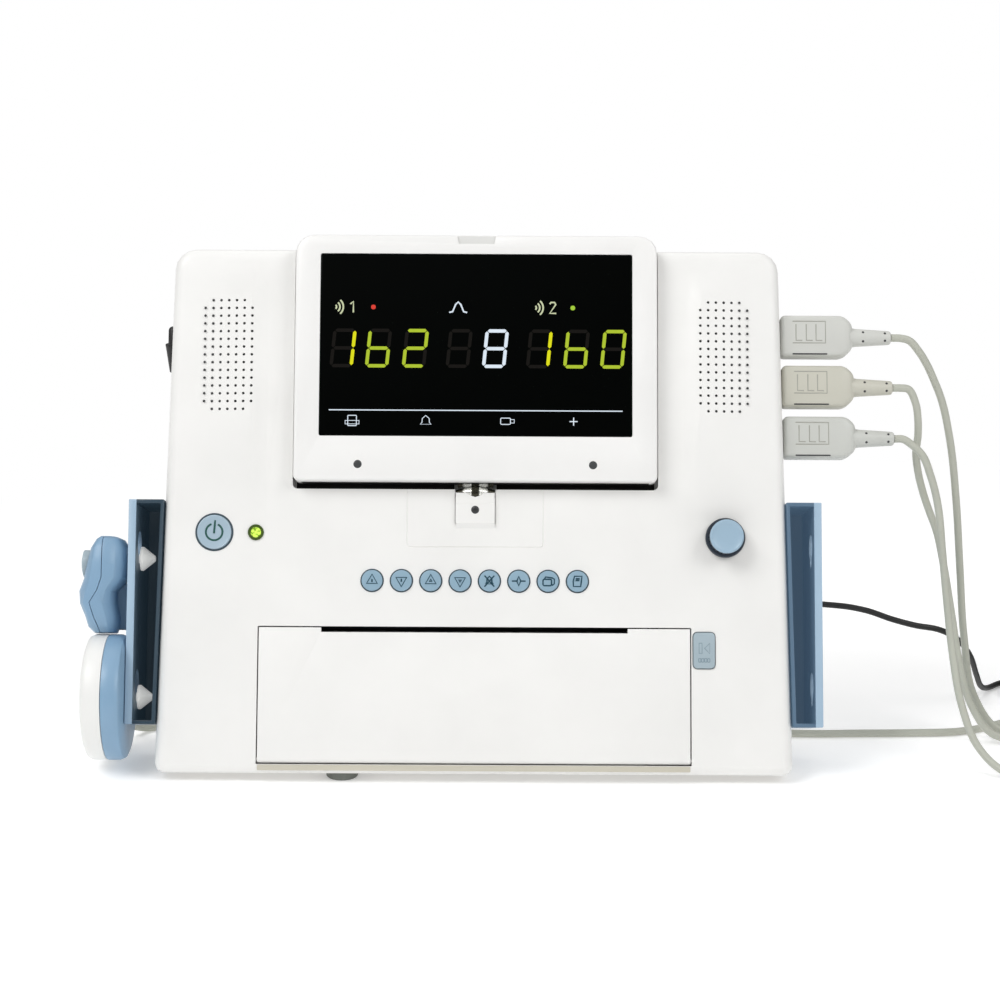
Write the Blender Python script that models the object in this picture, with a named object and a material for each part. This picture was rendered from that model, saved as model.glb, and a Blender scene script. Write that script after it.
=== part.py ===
"""A cardiotocograph: a leaning console with a fold-up display, a strip printer in its base, two probe
cradles, one hanging probe, one hanging event marker, three probe leads and a supply lead.

The console stands on z = 0 and its front faces -Y. Most pieces are placed in the face frame: u to the
right, v up the leaning face from its lower edge, w out of the face.
"""

import math

import bmesh
import bpy
from mathutils import Matrix, Vector

# Clearances
GAP = 0.0003
OVERRUN = 0.002
RUNNING = 0.0004

# Console casing
LEAN = math.radians(18.0)
FOOT_HEIGHT = 0.0045
FACE_HEIGHT = 0.248
HALF_WIDTH_LOW = 0.1485
HALF_WIDTH_HIGH = 0.1430
WALL = 0.0025
TOP_CORNER = 0.010
BOTTOM_CORNER = 0.0055
RIM_FILLET = 0.005
FRONT_DEPTH = 0.024
SLAB_DEPTH = 0.052
BIN_HALF_WIDTH = 0.105
BIN_DEPTH = 0.118
BIN_START = 0.048
BIN_CORNER = 0.008
BIN_FILLET = 0.0015
LEDGE_HEIGHT = 0.0635
BACK_FILLET = 0.010
FOOT_RADIUS = 0.0075
FOOT_EDGE = 0.00075
FOOT_INSET_U = 0.024
FOOT_FRONT = 0.036
FOOT_REAR_X = 0.080
FOOT_REAR_Y = 0.096
BUMPER_U = -0.0616
BUMPER_Y = 0.0120

# Raised side columns
COLUMN_RISE = 0.003
COLUMN_INNER = 0.098
COLUMN_CREST = 0.106
COLUMN_FOOT_LOW = 0.122
COLUMN_FOOT_HIGH = 0.146
COLUMN_HEAD_LOW = 0.228
COLUMN_HEAD_HIGH = 0.241

# Display
CASE_WIDTH = 0.170
CASE_HEIGHT = 0.1165
CASE_LOW = 0.1365
CASE_FRONT = 0.008
CASE_SPLIT = 0.001
CASE_BACK = 0.0084
CASE_WALL = 0.0022
CASE_CORNER = 0.0085
CASE_FOOT_CORNER = 0.0025
CASE_FILLET = 0.0014
POCKET_DEPTH = 0.009
POCKET_SIDE_GAP = 0.0008
POCKET_LOW = 0.1333
BEZEL_SIDE = 0.012
WINDOW_WIDTH = CASE_WIDTH - 2.0 * BEZEL_SIDE
WINDOW_HEIGHT = 0.086
WINDOW_LOW = 0.1577
WINDOW_THICK = 0.0022
WINDOW_SET_BACK = 0.0003
PANEL_SIDE_ROOM = 0.009
PANEL_WIDTH = CASE_WIDTH - 2.0 * PANEL_SIDE_ROOM
PANEL_HEIGHT = 0.092
PANEL_THICK = 0.0036
DRIVER_WIDTH = 0.106
DRIVER_HEIGHT = 0.046
WINDOW_CORNER = 0.0006
LOOSE = 0.0009
TAB_WIDTH = 0.0195
TAB_HEIGHT = 0.0042
TAB_DEPTH = 0.0012

# Display hinge
HINGE_V = 0.1319
HINGE_W = -0.0015
BARREL_RADIUS = 0.00355
BARREL_LENGTH = 0.0184
BARREL_BORE = 0.0011
HINGE_PIN_RADIUS = 0.0008
HINGE_PIN_GRIP = 0.003
TONGUE_WIDTH = 0.012
TONGUE_LENGTH = 0.018
TONGUE_THICK = 0.002
NECK_LOW = 0.1172
NECK_FRONT = 0.0015
NECK_TOP_GAP = 0.0004
NECK_SCOOP_GAP = 0.00035
WELL_DEPTH = 0.0069
WELL_GAP = 0.0003

# Keys and lights
KEY_COUNT = 8
KEY_PITCH = 0.0137
KEY_V = 0.0903
KEY_RADIUS = 0.0049
KEY_HOLE = 0.00535
KEY_RISE = 0.0012
KEY_STEM = 0.0015
KEY_FLANGE = 0.0011
FLANGE_THICK = 0.0009
KEY_DOME = 0.0005
POWER_U = -0.1220
POWER_V = 0.1126
POWER_RADIUS = 0.00805
POWER_HOLE = 0.00895
POWER_RISE = 0.0012
POWER_FLANGE = 0.0018
LIGHT_U = -0.1026
LIGHT_RADIUS = 0.0035
LIGHT_HOLE = 0.0038
LIGHT_RISE = 0.0007
LIGHT_DOME = 0.00035
BOARD_THICK = 0.0016
BOARD_BACK = 0.0060
KEY_BOARD_ROOM = 0.0201
KEY_BOARD_WIDTH = (KEY_COUNT - 1) * KEY_PITCH + KEY_BOARD_ROOM
KEY_BOARD_HEIGHT = 0.014
POWER_BOARD_WIDTH = 0.040
POWER_BOARD_HEIGHT = 0.022
PILLAR_RADIUS = 0.0016
BRIDGE_END = -0.030
BRIDGE_LOW = 0.0995
BRIDGE_HIGH = 0.1065

# Knob and encoder
KNOB_U = 0.1170
KNOB_V = 0.1110
KNOB_RADIUS = 0.0079
KNOB_SKIRT = 0.0093
KNOB_SKIRT_RISE = 0.0026
KNOB_RISE = 0.0105
KNOB_DOME = 0.0012
KNOB_BORE_DEPTH = 0.0065
SHAFT_RADIUS = 0.0030
BUSH_HOLE = 0.0036
ENCODER_SIZE = 0.013
ENCODER_DEPTH = 0.0066

# Paper door and its release
DOOR_HALF_WIDTH = 0.1005
DOOR_LOW = 0.0055
DOOR_HIGH = 0.0683
DOOR_THICK = 0.0034
DOOR_GAP = 0.0006
DOOR_TAB_WIDTH = 0.029
SLOT_HEIGHT = 0.0021
DOOR_CORNER = 0.003
DOOR_PIN_RADIUS = 0.0008
DOOR_PIN_HOLE = 0.0011
DOOR_PIN_LENGTH = 0.0016
DOOR_BOSS = 0.0042
DOOR_BOSS_LOW = 0.0023
DOOR_BOSS_DEPTH = 0.0055
RELEASE_U = 0.1070
RELEASE_V = 0.0584
RELEASE_WIDTH = 0.0100
RELEASE_HEIGHT = 0.0167
RELEASE_CORNER = 0.0018
RELEASE_RISE = 0.0008
RELEASE_STEM = 0.0012
RELEASE_GAP = 0.0004

# Printer
TRAY_HALF_WIDTH = 0.0806
TRAY_WALL = 0.0016
TRAY_BACK = 0.1150
TRAY_DOOR_GAP = 0.002
PAPER_WIDTH = 0.150
PAPER_FRONT = 0.0205
PAPER_BACK = 0.1120
PAPER_HEIGHT = 0.033
FRAME_LOW = 0.064
FRAME_HIGH = 0.097
FRAME_FRONT = 0.0055
FRAME_BACK = 0.032
FRAME_THICK = 0.002
FRAME_HALF_WIDTH = 0.0805
PLATEN_V = 0.074
PLATEN_W = -0.014
PLATEN_RADIUS = 0.0065
PLATEN_END_ROOM = 0.0045
PLATEN_LENGTH = 2.0 * (FRAME_HALF_WIDTH - PLATEN_END_ROOM)
PLATEN_SHAFT = 0.0025
GEAR_MODULE = 0.001
GEAR_TEETH = 20
PINION_TEETH = 10
GEAR_WIDTH = 0.0040
GEAR_PLANE = 0.0015
GEAR_SLACK = 0.0001
TOOTH_SHARE = 0.39
TOOTH_TIP_SHARE = 0.20
GEAR_BORE_GAP = 0.0003
MESH_ANGLE = math.radians(30.0)
MOTOR_RADIUS = 0.008
MOTOR_LENGTH = 0.016
MOTOR_SHAFT = 0.0010
HEAD_HEIGHT = 0.0090
HEAD_THICK = 0.0055
HEAD_GAP = 0.0005

# Inside the casing
SPEAKER_U = 0.1180
SPEAKER_DROP = 0.0500
SPEAKER_V = FACE_HEIGHT - SPEAKER_DROP
SPEAKER_WIDTH = 0.024
SPEAKER_HEIGHT = 0.050
SPEAKER_CORNER = 0.008
SPEAKER_RIM = 0.0020
MAGNET_RADIUS = 0.0090
MAGNET_DEPTH = 0.0110
MAIN_BOARD_WIDTH = 0.160
MAIN_BOARD_LOW = 0.145
MAIN_BOARD_TOP_ROOM = 0.013
MAIN_BOARD_HEIGHT = FACE_HEIGHT - MAIN_BOARD_TOP_ROOM - MAIN_BOARD_LOW
STANDOFF = 0.008
STANDOFF_RADIUS = 0.0025
STANDOFF_INSET = 0.006
CHIP_SIZE = 0.022
CHIP_HEIGHT = 0.0022
BATTERY_WIDTH = 0.120
BATTERY_HEIGHT = 0.050
BATTERY_DEPTH = 0.0210
BATTERY_LOW = 0.1500

# Side sockets and lead connectors
SOCKET_DROPS = (0.0395, 0.0636, 0.0880)
SOCKET_VS = tuple(FACE_HEIGHT - drop for drop in SOCKET_DROPS)
SOCKET_W = -0.0130
SOCKET_BLOCK_HEIGHT = 0.0175
SOCKET_BLOCK_DEPTH = 0.0130
SOCKET_LENGTH = 0.0100
NOSE_HEIGHT = 0.0130
NOSE_DEPTH = 0.0080
NOSE_LENGTH = 0.0060
CONNECTOR_HEIGHT = 0.0197
CONNECTOR_DEPTH = 0.0130
CONNECTOR_LENGTH = 0.0300
CONNECTOR_CORNER = 0.0022
CHAMFER_LENGTH = 0.0045
RELIEF_LENGTH = 0.0185
RELIEF_START = 0.0046
RELIEF_END = 0.0031
CONNECTOR_GAP = 0.0005

# Supply socket and plug
SUPPLY_DROP = 0.0368
SUPPLY_V = FACE_HEIGHT - SUPPLY_DROP
SUPPLY_W = -0.0350
SUPPLY_NOSE = 0.0030
SUPPLY_HOLE = 0.0036
SUPPLY_NOSE_LENGTH = 0.0070
SUPPLY_BLOCK = 0.0110
PLUG_THICK = 0.0055
PLUG_HEIGHT = 0.0095
PLUG_DEPTH = 0.0095
PLUG_RELIEF_LENGTH = 0.0130
PLUG_RELIEF_START = 0.0024
PLUG_RELIEF_END = 0.0021
RELIEF_TURN = math.radians(24.0)

# Cradles
CRADLE_LOW = 0.0230
CRADLE_HIGH = 0.1280
CRADLE_PLATE = 0.0016
CRADLE_OUTER = 0.1624
CRADLE_WALL = 0.0036
CRADLE_DEPTH = 0.0440
CRADLE_SET_BACK = 0.0005
CRADLE_FLOOR = 0.0018
SEAT_V_LOW = 0.0358
SEAT_V_HIGH = 0.1010
SEAT_W = -0.0140
SEAT_DROP = 0.0068
KEYHOLE_RADIUS = 0.0062
KEYHOLE_NECK = 0.0028

# Belt knobs, probes and marker
BELT_KNOB_RADIUS = 0.0057
BELT_KNOB_TIP = 0.0012
BELT_KNOB_LENGTH = 0.0068
BELT_NECK_RADIUS = 0.0023
KNOB_WALL_GAP = 0.0004
PROBE_RADIUS = 0.0295
PROBE_SHELL_THICK = 0.0085
PROBE_FACE_THICK = 0.0098
PROBE_FILLET = 0.0030
PROBE_SEAM = 0.0003
SEAM_DEPTH = 0.0006
GLAND_RADIUS = 0.0040
GLAND_LENGTH = 0.0120
GLAND_TURN = math.radians(255.0)
SPARE_TURN = math.radians(40.0)
MARKER_LOW = 0.0658
MARKER_HIGH = 0.1110
MARKER_REAR_THICK = 0.0115
MARKER_FRONT_THICK = 0.0110
MARKER_HALF_DEPTH = 0.0150
MARKER_BUTTON_V = 0.0985
MARKER_BUTTON_RADIUS = 0.0065
MARKER_BUTTON_RISE = 0.0022
MARKER_BUTTON_SINK = 0.0040
MARKER_BUTTON_TRAVEL = 0.0012
MARKER_BUTTON_FACE = 0.0088
MARKER_SPINE_LOW = 0.0675
MARKER_SPINE_HIGH = 0.0895
MARKER_SPINE_BACK = -0.0060
MARKER_SPINE_THICK = 0.0030
MARKER_SPINE_CORNER = 0.0015
MARKER_SECTIONS = (
    # share of the height, seam's shift outwards, reach behind it, reach before it, share of the depth
    (0.00, 0.0010, 0.0070, 0.0035, 0.55),
    (0.06, 0.0018, 0.0085, 0.0055, 0.72),
    (0.16, 0.0036, 0.0105, 0.0050, 0.86),
    (0.30, 0.0056, 0.0110, 0.0057, 0.92),
    (0.43, 0.0020, 0.0072, 0.0100, 0.96),
    (0.56, 0.0, 0.0106, 0.0099, 1.00),
    (0.70, 0.0, 0.0115, 0.0088, 1.00),
    (0.88, 0.0, 0.0111, 0.0068, 0.96),
    (0.97, 0.0, 0.0086, 0.0042, 0.80),
    (1.00, 0.0, 0.0055, 0.0024, 0.60),
)
MARKER_BULGE_POWER = 0.7
MARKER_TOP_SHARE = 0.6

# Shares of soft edges and tapers
ARC_SHARE = 0.3
CAP_TOP_SHARE = 0.55
KNOB_TOP_SHARE = 0.5
GLAND_TIP_SHARE = 0.62
RELIEF_ROUND_SHARE = 0.9
HEAD_FOOT_SHARE = 0.6
FACE_FLAT_SHARE = 1.3
FACE_EDGE_SHARE = 0.3
FACE_LOW_SHARE = 0.4
FACE_HIGH_SHARE = 1.1
ADDENDUM_SHARE = 0.8
DEDENDUM_SHARE = 1.2
TOOTH_SPREAD = 0.08

# Leads: coil centres, turns and start directions; ways and routes are in the stand frame
LEAD_DIAMETER = 0.0037
SUPPLY_DIAMETER = 0.0030
COIL_TURNS = 7.0
COIL_TURNS_A = 7.0 + 217.0 / 360.0
COIL_A = (0.3120, 0.0951)
COIL_B = (0.3120, 0.0345)
COIL_C = (0.3760, 0.0285)
COIL_D = (0.3000, 0.1495)
COIL_ACROSS_SHARE = 11.0
COIL_PITCH_GAP = 0.0006
COIL_END_SHARE = 1.2
COIL_CLIMB_TURNS = 0.25
LOOP_POINTS = 15
TUBE_STEP_SHARE = 3.0
TAIL_STEP_SHARE = 2.0
SPARE_PLACES = ((0.3940, 0.0964), (0.4580, 0.0346))

# Plug-top supply, its gland's outer end on the table plan
ADAPTER_END = (0.3430, 0.1620)
ADAPTER_LENGTH = 0.052
ADAPTER_WIDTH = 0.036
ADAPTER_HEIGHT = 0.026
ADAPTER_CORNER = 0.005
ADAPTER_PIN_LENGTH = 0.017
ADAPTER_PIN_RADIUS = 0.0020
ADAPTER_PIN_SPACING = 0.019
ADAPTER_GLAND_LENGTH = 0.010
ADAPTER_GLAND_RADIUS = 0.0032
CORD_PIECES = ("connector_a", "connector_b", "connector_c", "supply_plug", "supply_adapter")

# Free stretches of the leads, as points chosen by hand
ROUTE_A = (
    (0.2063, 0.0770, 0.1978),
    (0.2116, 0.0772, 0.1924),
    (0.2160, 0.0775, 0.1856),
    (0.2203, 0.0778, 0.1768),
    (0.2227, 0.0780, 0.1714),
    (0.2285, 0.0785, 0.1500),
    (0.2330, 0.0790, 0.1200),
    (0.2365, 0.0790, 0.0850),
    (0.2400, 0.0780, 0.0500),
    (0.2455, 0.0760, 0.0220),
    (0.2560, 0.0730, 0.0065),
    (0.2700, 0.0695, 0.0021),
    (0.2860, 0.0668, 0.0021),
)
ROUTE_A_BACK = (
    (0.2830, 0.1070, 0.0050),
    (0.2620, 0.0920, 0.0021),
    (0.2400, 0.0795, 0.0021),
    (0.2150, 0.0765, 0.0021),
    (0.1900, 0.0755, 0.0021),
    (0.1650, 0.0745, 0.0021),
    (0.1450, 0.0765, 0.0021),
    (0.1280, 0.0850, 0.0021),
    (0.1175, 0.1000, 0.0021),
    (0.1120, 0.1150, 0.0021),
    (0.1050, 0.1255, 0.0021),
    (0.0900, 0.1285, 0.0021),
    (0.0, 0.1290, 0.0021),
    (-0.0900, 0.1285, 0.0021),
    (-0.1080, 0.1225, 0.0021),
    (-0.1220, 0.1060, 0.0021),
    (-0.1370, 0.0920, 0.0021),
    (-0.1520, 0.0835, 0.0021),
    (-0.1630, 0.0770, 0.0025),
    (-0.1680, 0.0690, 0.0060),
)
ROUTE_B = (
    (0.2059, 0.0700, 0.1753),
    (0.2097, 0.0700, 0.1689),
    (0.2113, 0.0700, 0.1604),
    (0.2116, 0.0700, 0.1526),
    (0.2110, 0.0700, 0.1448),
    (0.2123, 0.0700, 0.1355),
    (0.2150, 0.0700, 0.1256),
    (0.2188, 0.0700, 0.1153),
    (0.2220, 0.0700, 0.1075),
    (0.2265, 0.0700, 0.0900),
    (0.2315, 0.0700, 0.0655),
    (0.2365, 0.0690, 0.0400),
    (0.2430, 0.0675, 0.0190),
    (0.2530, 0.0655, 0.0055),
    (0.2660, 0.0638, 0.0023),
    (0.2840, 0.0626, 0.0021),
)
ROUTE_C = (
    (0.2077, 0.0620, 0.1496),
    (0.2130, 0.0620, 0.1443),
    (0.2168, 0.0620, 0.1355),
    (0.2199, 0.0615, 0.1255),
    (0.2215, 0.0610, 0.1178),
    (0.2235, 0.0590, 0.1000),
    (0.2260, 0.0540, 0.0750),
    (0.2285, 0.0460, 0.0500),
    (0.2320, 0.0360, 0.0280),
    (0.2380, 0.0250, 0.0120),
    (0.2470, 0.0150, 0.0040),
    (0.2590, 0.0070, 0.0021),
    (0.2760, 0.0020, 0.0021),
    (0.3000, 0.0002, 0.0021),
    (0.3300, 0.0, 0.0021),
    (0.3520, 0.0003, 0.0021),
)
ROUTE_SUPPLY = (
    (-0.1472, 0.0995, 0.1700),
    (-0.1462, 0.1040, 0.1550),
    (-0.1430, 0.1110, 0.1350),
    (-0.1400, 0.1150, 0.1150),
    (-0.1320, 0.1115, 0.0950),
    (-0.1200, 0.1040, 0.0780),
    (-0.1040, 0.0985, 0.0690),
    (-0.0880, 0.0965, 0.0662),
    (-0.0600, 0.0960, 0.0655),
    (-0.0200, 0.0980, 0.0655),
    (0.0300, 0.0990, 0.0655),
    (0.0800, 0.0985, 0.0655),
    (0.1050, 0.0985, 0.0655),
    (0.1250, 0.0990, 0.0645),
    (0.1500, 0.0995, 0.0632),
    (0.1734, 0.1000, 0.0614),
    (0.1865, 0.1000, 0.0601),
    (0.1955, 0.1005, 0.0581),
    (0.2080, 0.1010, 0.0537),
    (0.2204, 0.1020, 0.0502),
    (0.2317, 0.1040, 0.0478),
    (0.2420, 0.1090, 0.0420),
    (0.2510, 0.1170, 0.0310),
    (0.2570, 0.1280, 0.0180),
    (0.2625, 0.1410, 0.0075),
    (0.2690, 0.1545, 0.0025),
    (0.2790, 0.1665, 0.0018),
)
TAIL_PROBE = (
    (0.0120, 0.0001, 0.0075),
    (0.0260, 0.0006, 0.0105),
    (0.0395, 0.0015, 0.0132),
)
TAIL_SUPPLY = (
    (0.0120, -0.0001, 0.0056),
    (0.0260, -0.0043, 0.0090),
    (0.0360, -0.0091, 0.0122),
)

ROUND = 20
SMALL_ROUND = 12
CAP_ROUND = 16
PROBE_ROUND = 32


# Colours, roughness and metallic value of each finish
FINISHES = {
    "housing_white": ((0.86, 0.85, 0.82), 0.42, 0.0),
    "bezel_white": ((0.88, 0.88, 0.86), 0.35, 0.0),
    "black_glass": ((0.006, 0.007, 0.008), 0.06, 0.0),
    "dark_plastic": ((0.05, 0.05, 0.055), 0.5, 0.0),
    "chrome": ((0.80, 0.81, 0.83), 0.10, 1.0),
    "steel": ((0.55, 0.56, 0.58), 0.32, 1.0),
    "key_blue": ((0.27, 0.44, 0.58), 0.42, 0.0),
    "button_grey": ((0.40, 0.51, 0.59), 0.40, 0.0),
    "light_green": ((0.58, 0.80, 0.07), 0.25, 0.0),
    "knob_blue": ((0.36, 0.54, 0.70), 0.35, 0.0),
    "cradle_blue": ((0.12, 0.26, 0.40), 0.42, 0.0),
    "probe_blue": ((0.30, 0.48, 0.64), 0.40, 0.0),
    "probe_white": ((0.86, 0.87, 0.86), 0.38, 0.0),
    "circuit_green": ((0.03, 0.20, 0.10), 0.5, 0.0),
    "gear_white": ((0.75, 0.74, 0.70), 0.5, 0.0),
    "paper": ((0.90, 0.88, 0.82), 0.8, 0.0),
    "roller_rubber": ((0.06, 0.06, 0.06), 0.75, 0.0),
    "foot_rubber": ((0.20, 0.22, 0.21), 0.8, 0.0),
    "battery_blue": ((0.06, 0.14, 0.36), 0.45, 0.0),
    "connector_grey": ((0.64, 0.63, 0.56), 0.48, 0.0),
    "lead_grey": ((0.53, 0.54, 0.47), 0.55, 0.0),
    "lead_black": ((0.02, 0.02, 0.02), 0.5, 0.0),
}


def finish(name):
    """The Principled material of one finish, made once."""
    made = bpy.data.materials.get(name)
    if made is None:
        colour, roughness, metallic = FINISHES[name]
        made = bpy.data.materials.new(name)
        made.use_nodes = True
        shader = made.node_tree.nodes["Principled BSDF"]
        shader.inputs["Base Color"].default_value = (*colour, 1.0)
        shader.inputs["Roughness"].default_value = roughness
        shader.inputs["Metallic"].default_value = metallic
        made.diffuse_color = (*colour, 1.0)
    return made


def empty(name, parent=None, at=(0.0, 0.0, 0.0), turn=(0.0, 0.0, 0.0)):
    """An empty that carries pieces."""
    holder = bpy.data.objects.new(name, None)
    holder.location = at
    holder.rotation_euler = turn
    holder.parent = parent
    bpy.context.scene.collection.objects.link(holder)
    return holder


def piece(name, shape, parent, look, at=(0.0, 0.0, 0.0), smooth=True):
    """One named object from a bmesh, with its own copy of a finish."""
    bmesh.ops.recalc_face_normals(shape, faces=shape.faces)
    mesh = bpy.data.meshes.new(name)
    shape.to_mesh(mesh)
    shape.free()
    made = bpy.data.objects.new(name, mesh)
    made.location = at
    made.parent = parent
    bpy.context.scene.collection.objects.link(made)
    if look is not None:
        own = finish(look).copy()
        own.name = name
        mesh.materials.append(own)
    if smooth:
        mesh.shade_smooth()
        mesh.set_sharp_from_angle(angle=math.radians(35.0))
    return made


def tool(name, shape, parent, at=(0.0, 0.0, 0.0)):
    """A cutter, which isn't part of the object."""
    made = piece(name, shape, parent, None, at, smooth=False)
    made.hide_render = True
    made.display_type = "WIRE"
    return made


def change(target, other, operation="DIFFERENCE"):
    """One exact Boolean of target with other."""
    step = target.modifiers.new(other.name, "BOOLEAN")
    step.operation = operation
    step.solver = "EXACT"
    step.object = other


def cut(target, shape, at=(0.0, 0.0, 0.0)):
    """Take a shape, given in the target's own frame, out of it."""
    name = f"{target.name}_cut_{len(target.modifiers)}"
    change(target, tool(name, shape, target.parent, at))


def add(target, shape, at=(0.0, 0.0, 0.0)):
    """Join a shape to the target."""
    name = f"{target.name}_add_{len(target.modifiers)}"
    change(target, tool(name, shape, target.parent, at), "UNION")


def smoothstep(value, low, high):
    """0 at low, 1 at high, and a soft step between them."""
    share = min(1.0, max(0.0, (value - low) / (high - low)))
    return share * share * (3.0 - 2.0 * share)


def rounded(corners, steps=4):
    """An outline from (x, y, radius) corners that run anticlockwise, with an arc at each corner."""
    points = []
    count = len(corners)
    for i, (x, y, radius) in enumerate(corners):
        here = Vector((x, y))
        before = (Vector(corners[i - 1][:2]) - here).normalized()
        after = (Vector(corners[(i + 1) % count][:2]) - here).normalized()
        if radius <= 0.0:
            points.append(here)
            continue
        half = before.angle(after) / 2.0
        reach = radius / math.tan(half)
        middle = here + (before + after).normalized() * (radius / math.sin(half))
        start = here + before * reach - middle
        sweep = start.angle_signed(here + after * reach - middle)
        for k in range(steps + 1):
            points.append(middle + Matrix.Rotation(-sweep * k / steps, 2) @ start)
    return points


def rectangle(width, height, radius=0.0, centre=(0.0, 0.0), steps=3):
    """A centred rectangle's outline with round corners."""
    x, y = centre
    a, b = width / 2.0, height / 2.0
    corners = [
        (x - a, y - b, radius),
        (x + a, y - b, radius),
        (x + a, y + b, radius),
        (x - a, y + b, radius),
    ]
    return rounded(corners, steps)


def circle(radius, count=ROUND, centre=(0.0, 0.0)):
    """A circle's outline."""
    x, y = centre
    turn = 2.0 * math.pi / count
    return [
        Vector((x + radius * math.cos(turn * k), y + radius * math.sin(turn * k)))
        for k in range(count)
    ]


def loft(rings, closed=False):
    """A closed solid through rings of 3-D points, capped at both ends or joined end to start."""
    shape = bmesh.new()
    rows = [[shape.verts.new(p) for p in ring] for ring in rings]
    pairs = list(zip(rows, rows[1:]))
    if closed:
        pairs.append((rows[-1], rows[0]))
    else:
        shape.faces.new(list(reversed(rows[0])))
        shape.faces.new(rows[-1])
    for low, high in pairs:
        for k in range(len(low)):
            j = (k + 1) % len(low)
            shape.faces.new((low[k], low[j], high[j], high[k]))
    return shape


def slab(outline, low, high):
    """An outline in the local XY plane, pushed along Z from low to high."""
    return loft([[Vector((p[0], p[1], z)) for p in outline] for z in (low, high)])


def box(low, high):
    """An upright block between two corners."""
    (x0, y0, z0), (x1, y1, z1) = low, high
    return slab([(x0, y0), (x1, y0), (x1, y1), (x0, y1)], z0, z1)


def turned(profile, count=ROUND, closed=False):
    """A profile of (radius, z) turned about Z."""
    rings = [[Vector((p[0], p[1], z)) for p in circle(radius, count)] for radius, z in profile]
    return loft(rings, closed)


def along_x(shape, at=(0.0, 0.0, 0.0)):
    """Turn a shape's Z axis to X, and move it."""
    turn = Matrix.Translation(at) @ Matrix(((0, 0, 1, 0), (1, 0, 0, 0), (0, 1, 0, 0), (0, 0, 0, 1)))
    bmesh.ops.transform(shape, matrix=turn, verts=shape.verts)
    return shape


def moved(shape, by):
    """Move a shape."""
    bmesh.ops.translate(shape, vec=by, verts=shape.verts)
    return shape


def joined(shapes):
    """Several shapes that don't meet, as one mesh."""
    whole = bmesh.new()
    for shape in shapes:
        spare = bpy.data.meshes.new("spare")
        shape.to_mesh(spare)
        shape.free()
        whole.from_mesh(spare)
        bpy.data.meshes.remove(spare)
    return whole


def trim(shape, point, normal):
    """Take away what lies on the side that normal points to, and close the solid again."""
    geometry = shape.verts[:] + shape.edges[:] + shape.faces[:]
    result = bmesh.ops.bisect_plane(
        shape, geom=geometry, plane_co=point, plane_no=normal, clear_outer=True
    )
    edges = [e for e in result["geom_cut"] if isinstance(e, bmesh.types.BMEdge)]
    bmesh.ops.contextual_create(shape, geom=edges)
    return shape


def slice_at(shape, point, normal):
    """Add edges where a plane crosses a shape."""
    geometry = shape.verts[:] + shape.edges[:] + shape.faces[:]
    bmesh.ops.bisect_plane(shape, geom=geometry, plane_co=point, plane_no=normal)


def half_width(v):
    """Half the casing's width at a height on its face."""
    return HALF_WIDTH_LOW + (HALF_WIDTH_HIGH - HALF_WIDTH_LOW) * v / FACE_HEIGHT


def face_to_stand(v, w):
    """A place on the face, as (y, z) in the stand frame."""
    return (
        v * math.sin(LEAN) - w * math.cos(LEAN),
        FOOT_HEIGHT + v * math.cos(LEAN) + w * math.sin(LEAN),
    )


def casing_outline(inset, low=0.0):
    """The face's outline, drawn in by an inset, with its lower edge at low."""
    top = FACE_HEIGHT - inset
    at_low, at_top = half_width(low) - inset, half_width(top) - inset
    foot, head = max(BOTTOM_CORNER - inset, GAP), max(TOP_CORNER - inset, GAP)
    return rounded(
        [(-at_low, low + inset, foot), (at_low, low + inset, foot), (at_top, top, head), (-at_top, top, head)]
    )


def column_lift(u, v):
    """How far the face stands out at the raised side columns."""
    edge = half_width(v) - RIM_FILLET
    outward = abs(u)
    slope = min(1.0, max(0.0, (edge - outward) / (edge - COLUMN_CREST)))
    step = smoothstep(outward, COLUMN_INNER, COLUMN_CREST)
    foot = smoothstep(v, COLUMN_FOOT_LOW, COLUMN_FOOT_HIGH)
    head = 1.0 - smoothstep(v, COLUMN_HEAD_LOW, COLUMN_HEAD_HIGH)
    return COLUMN_RISE * slope * step * foot * head


def up_in_face():
    """The stand's upward direction, in the face frame."""
    return Vector((0.0, math.cos(LEAN), math.sin(LEAN)))


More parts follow.
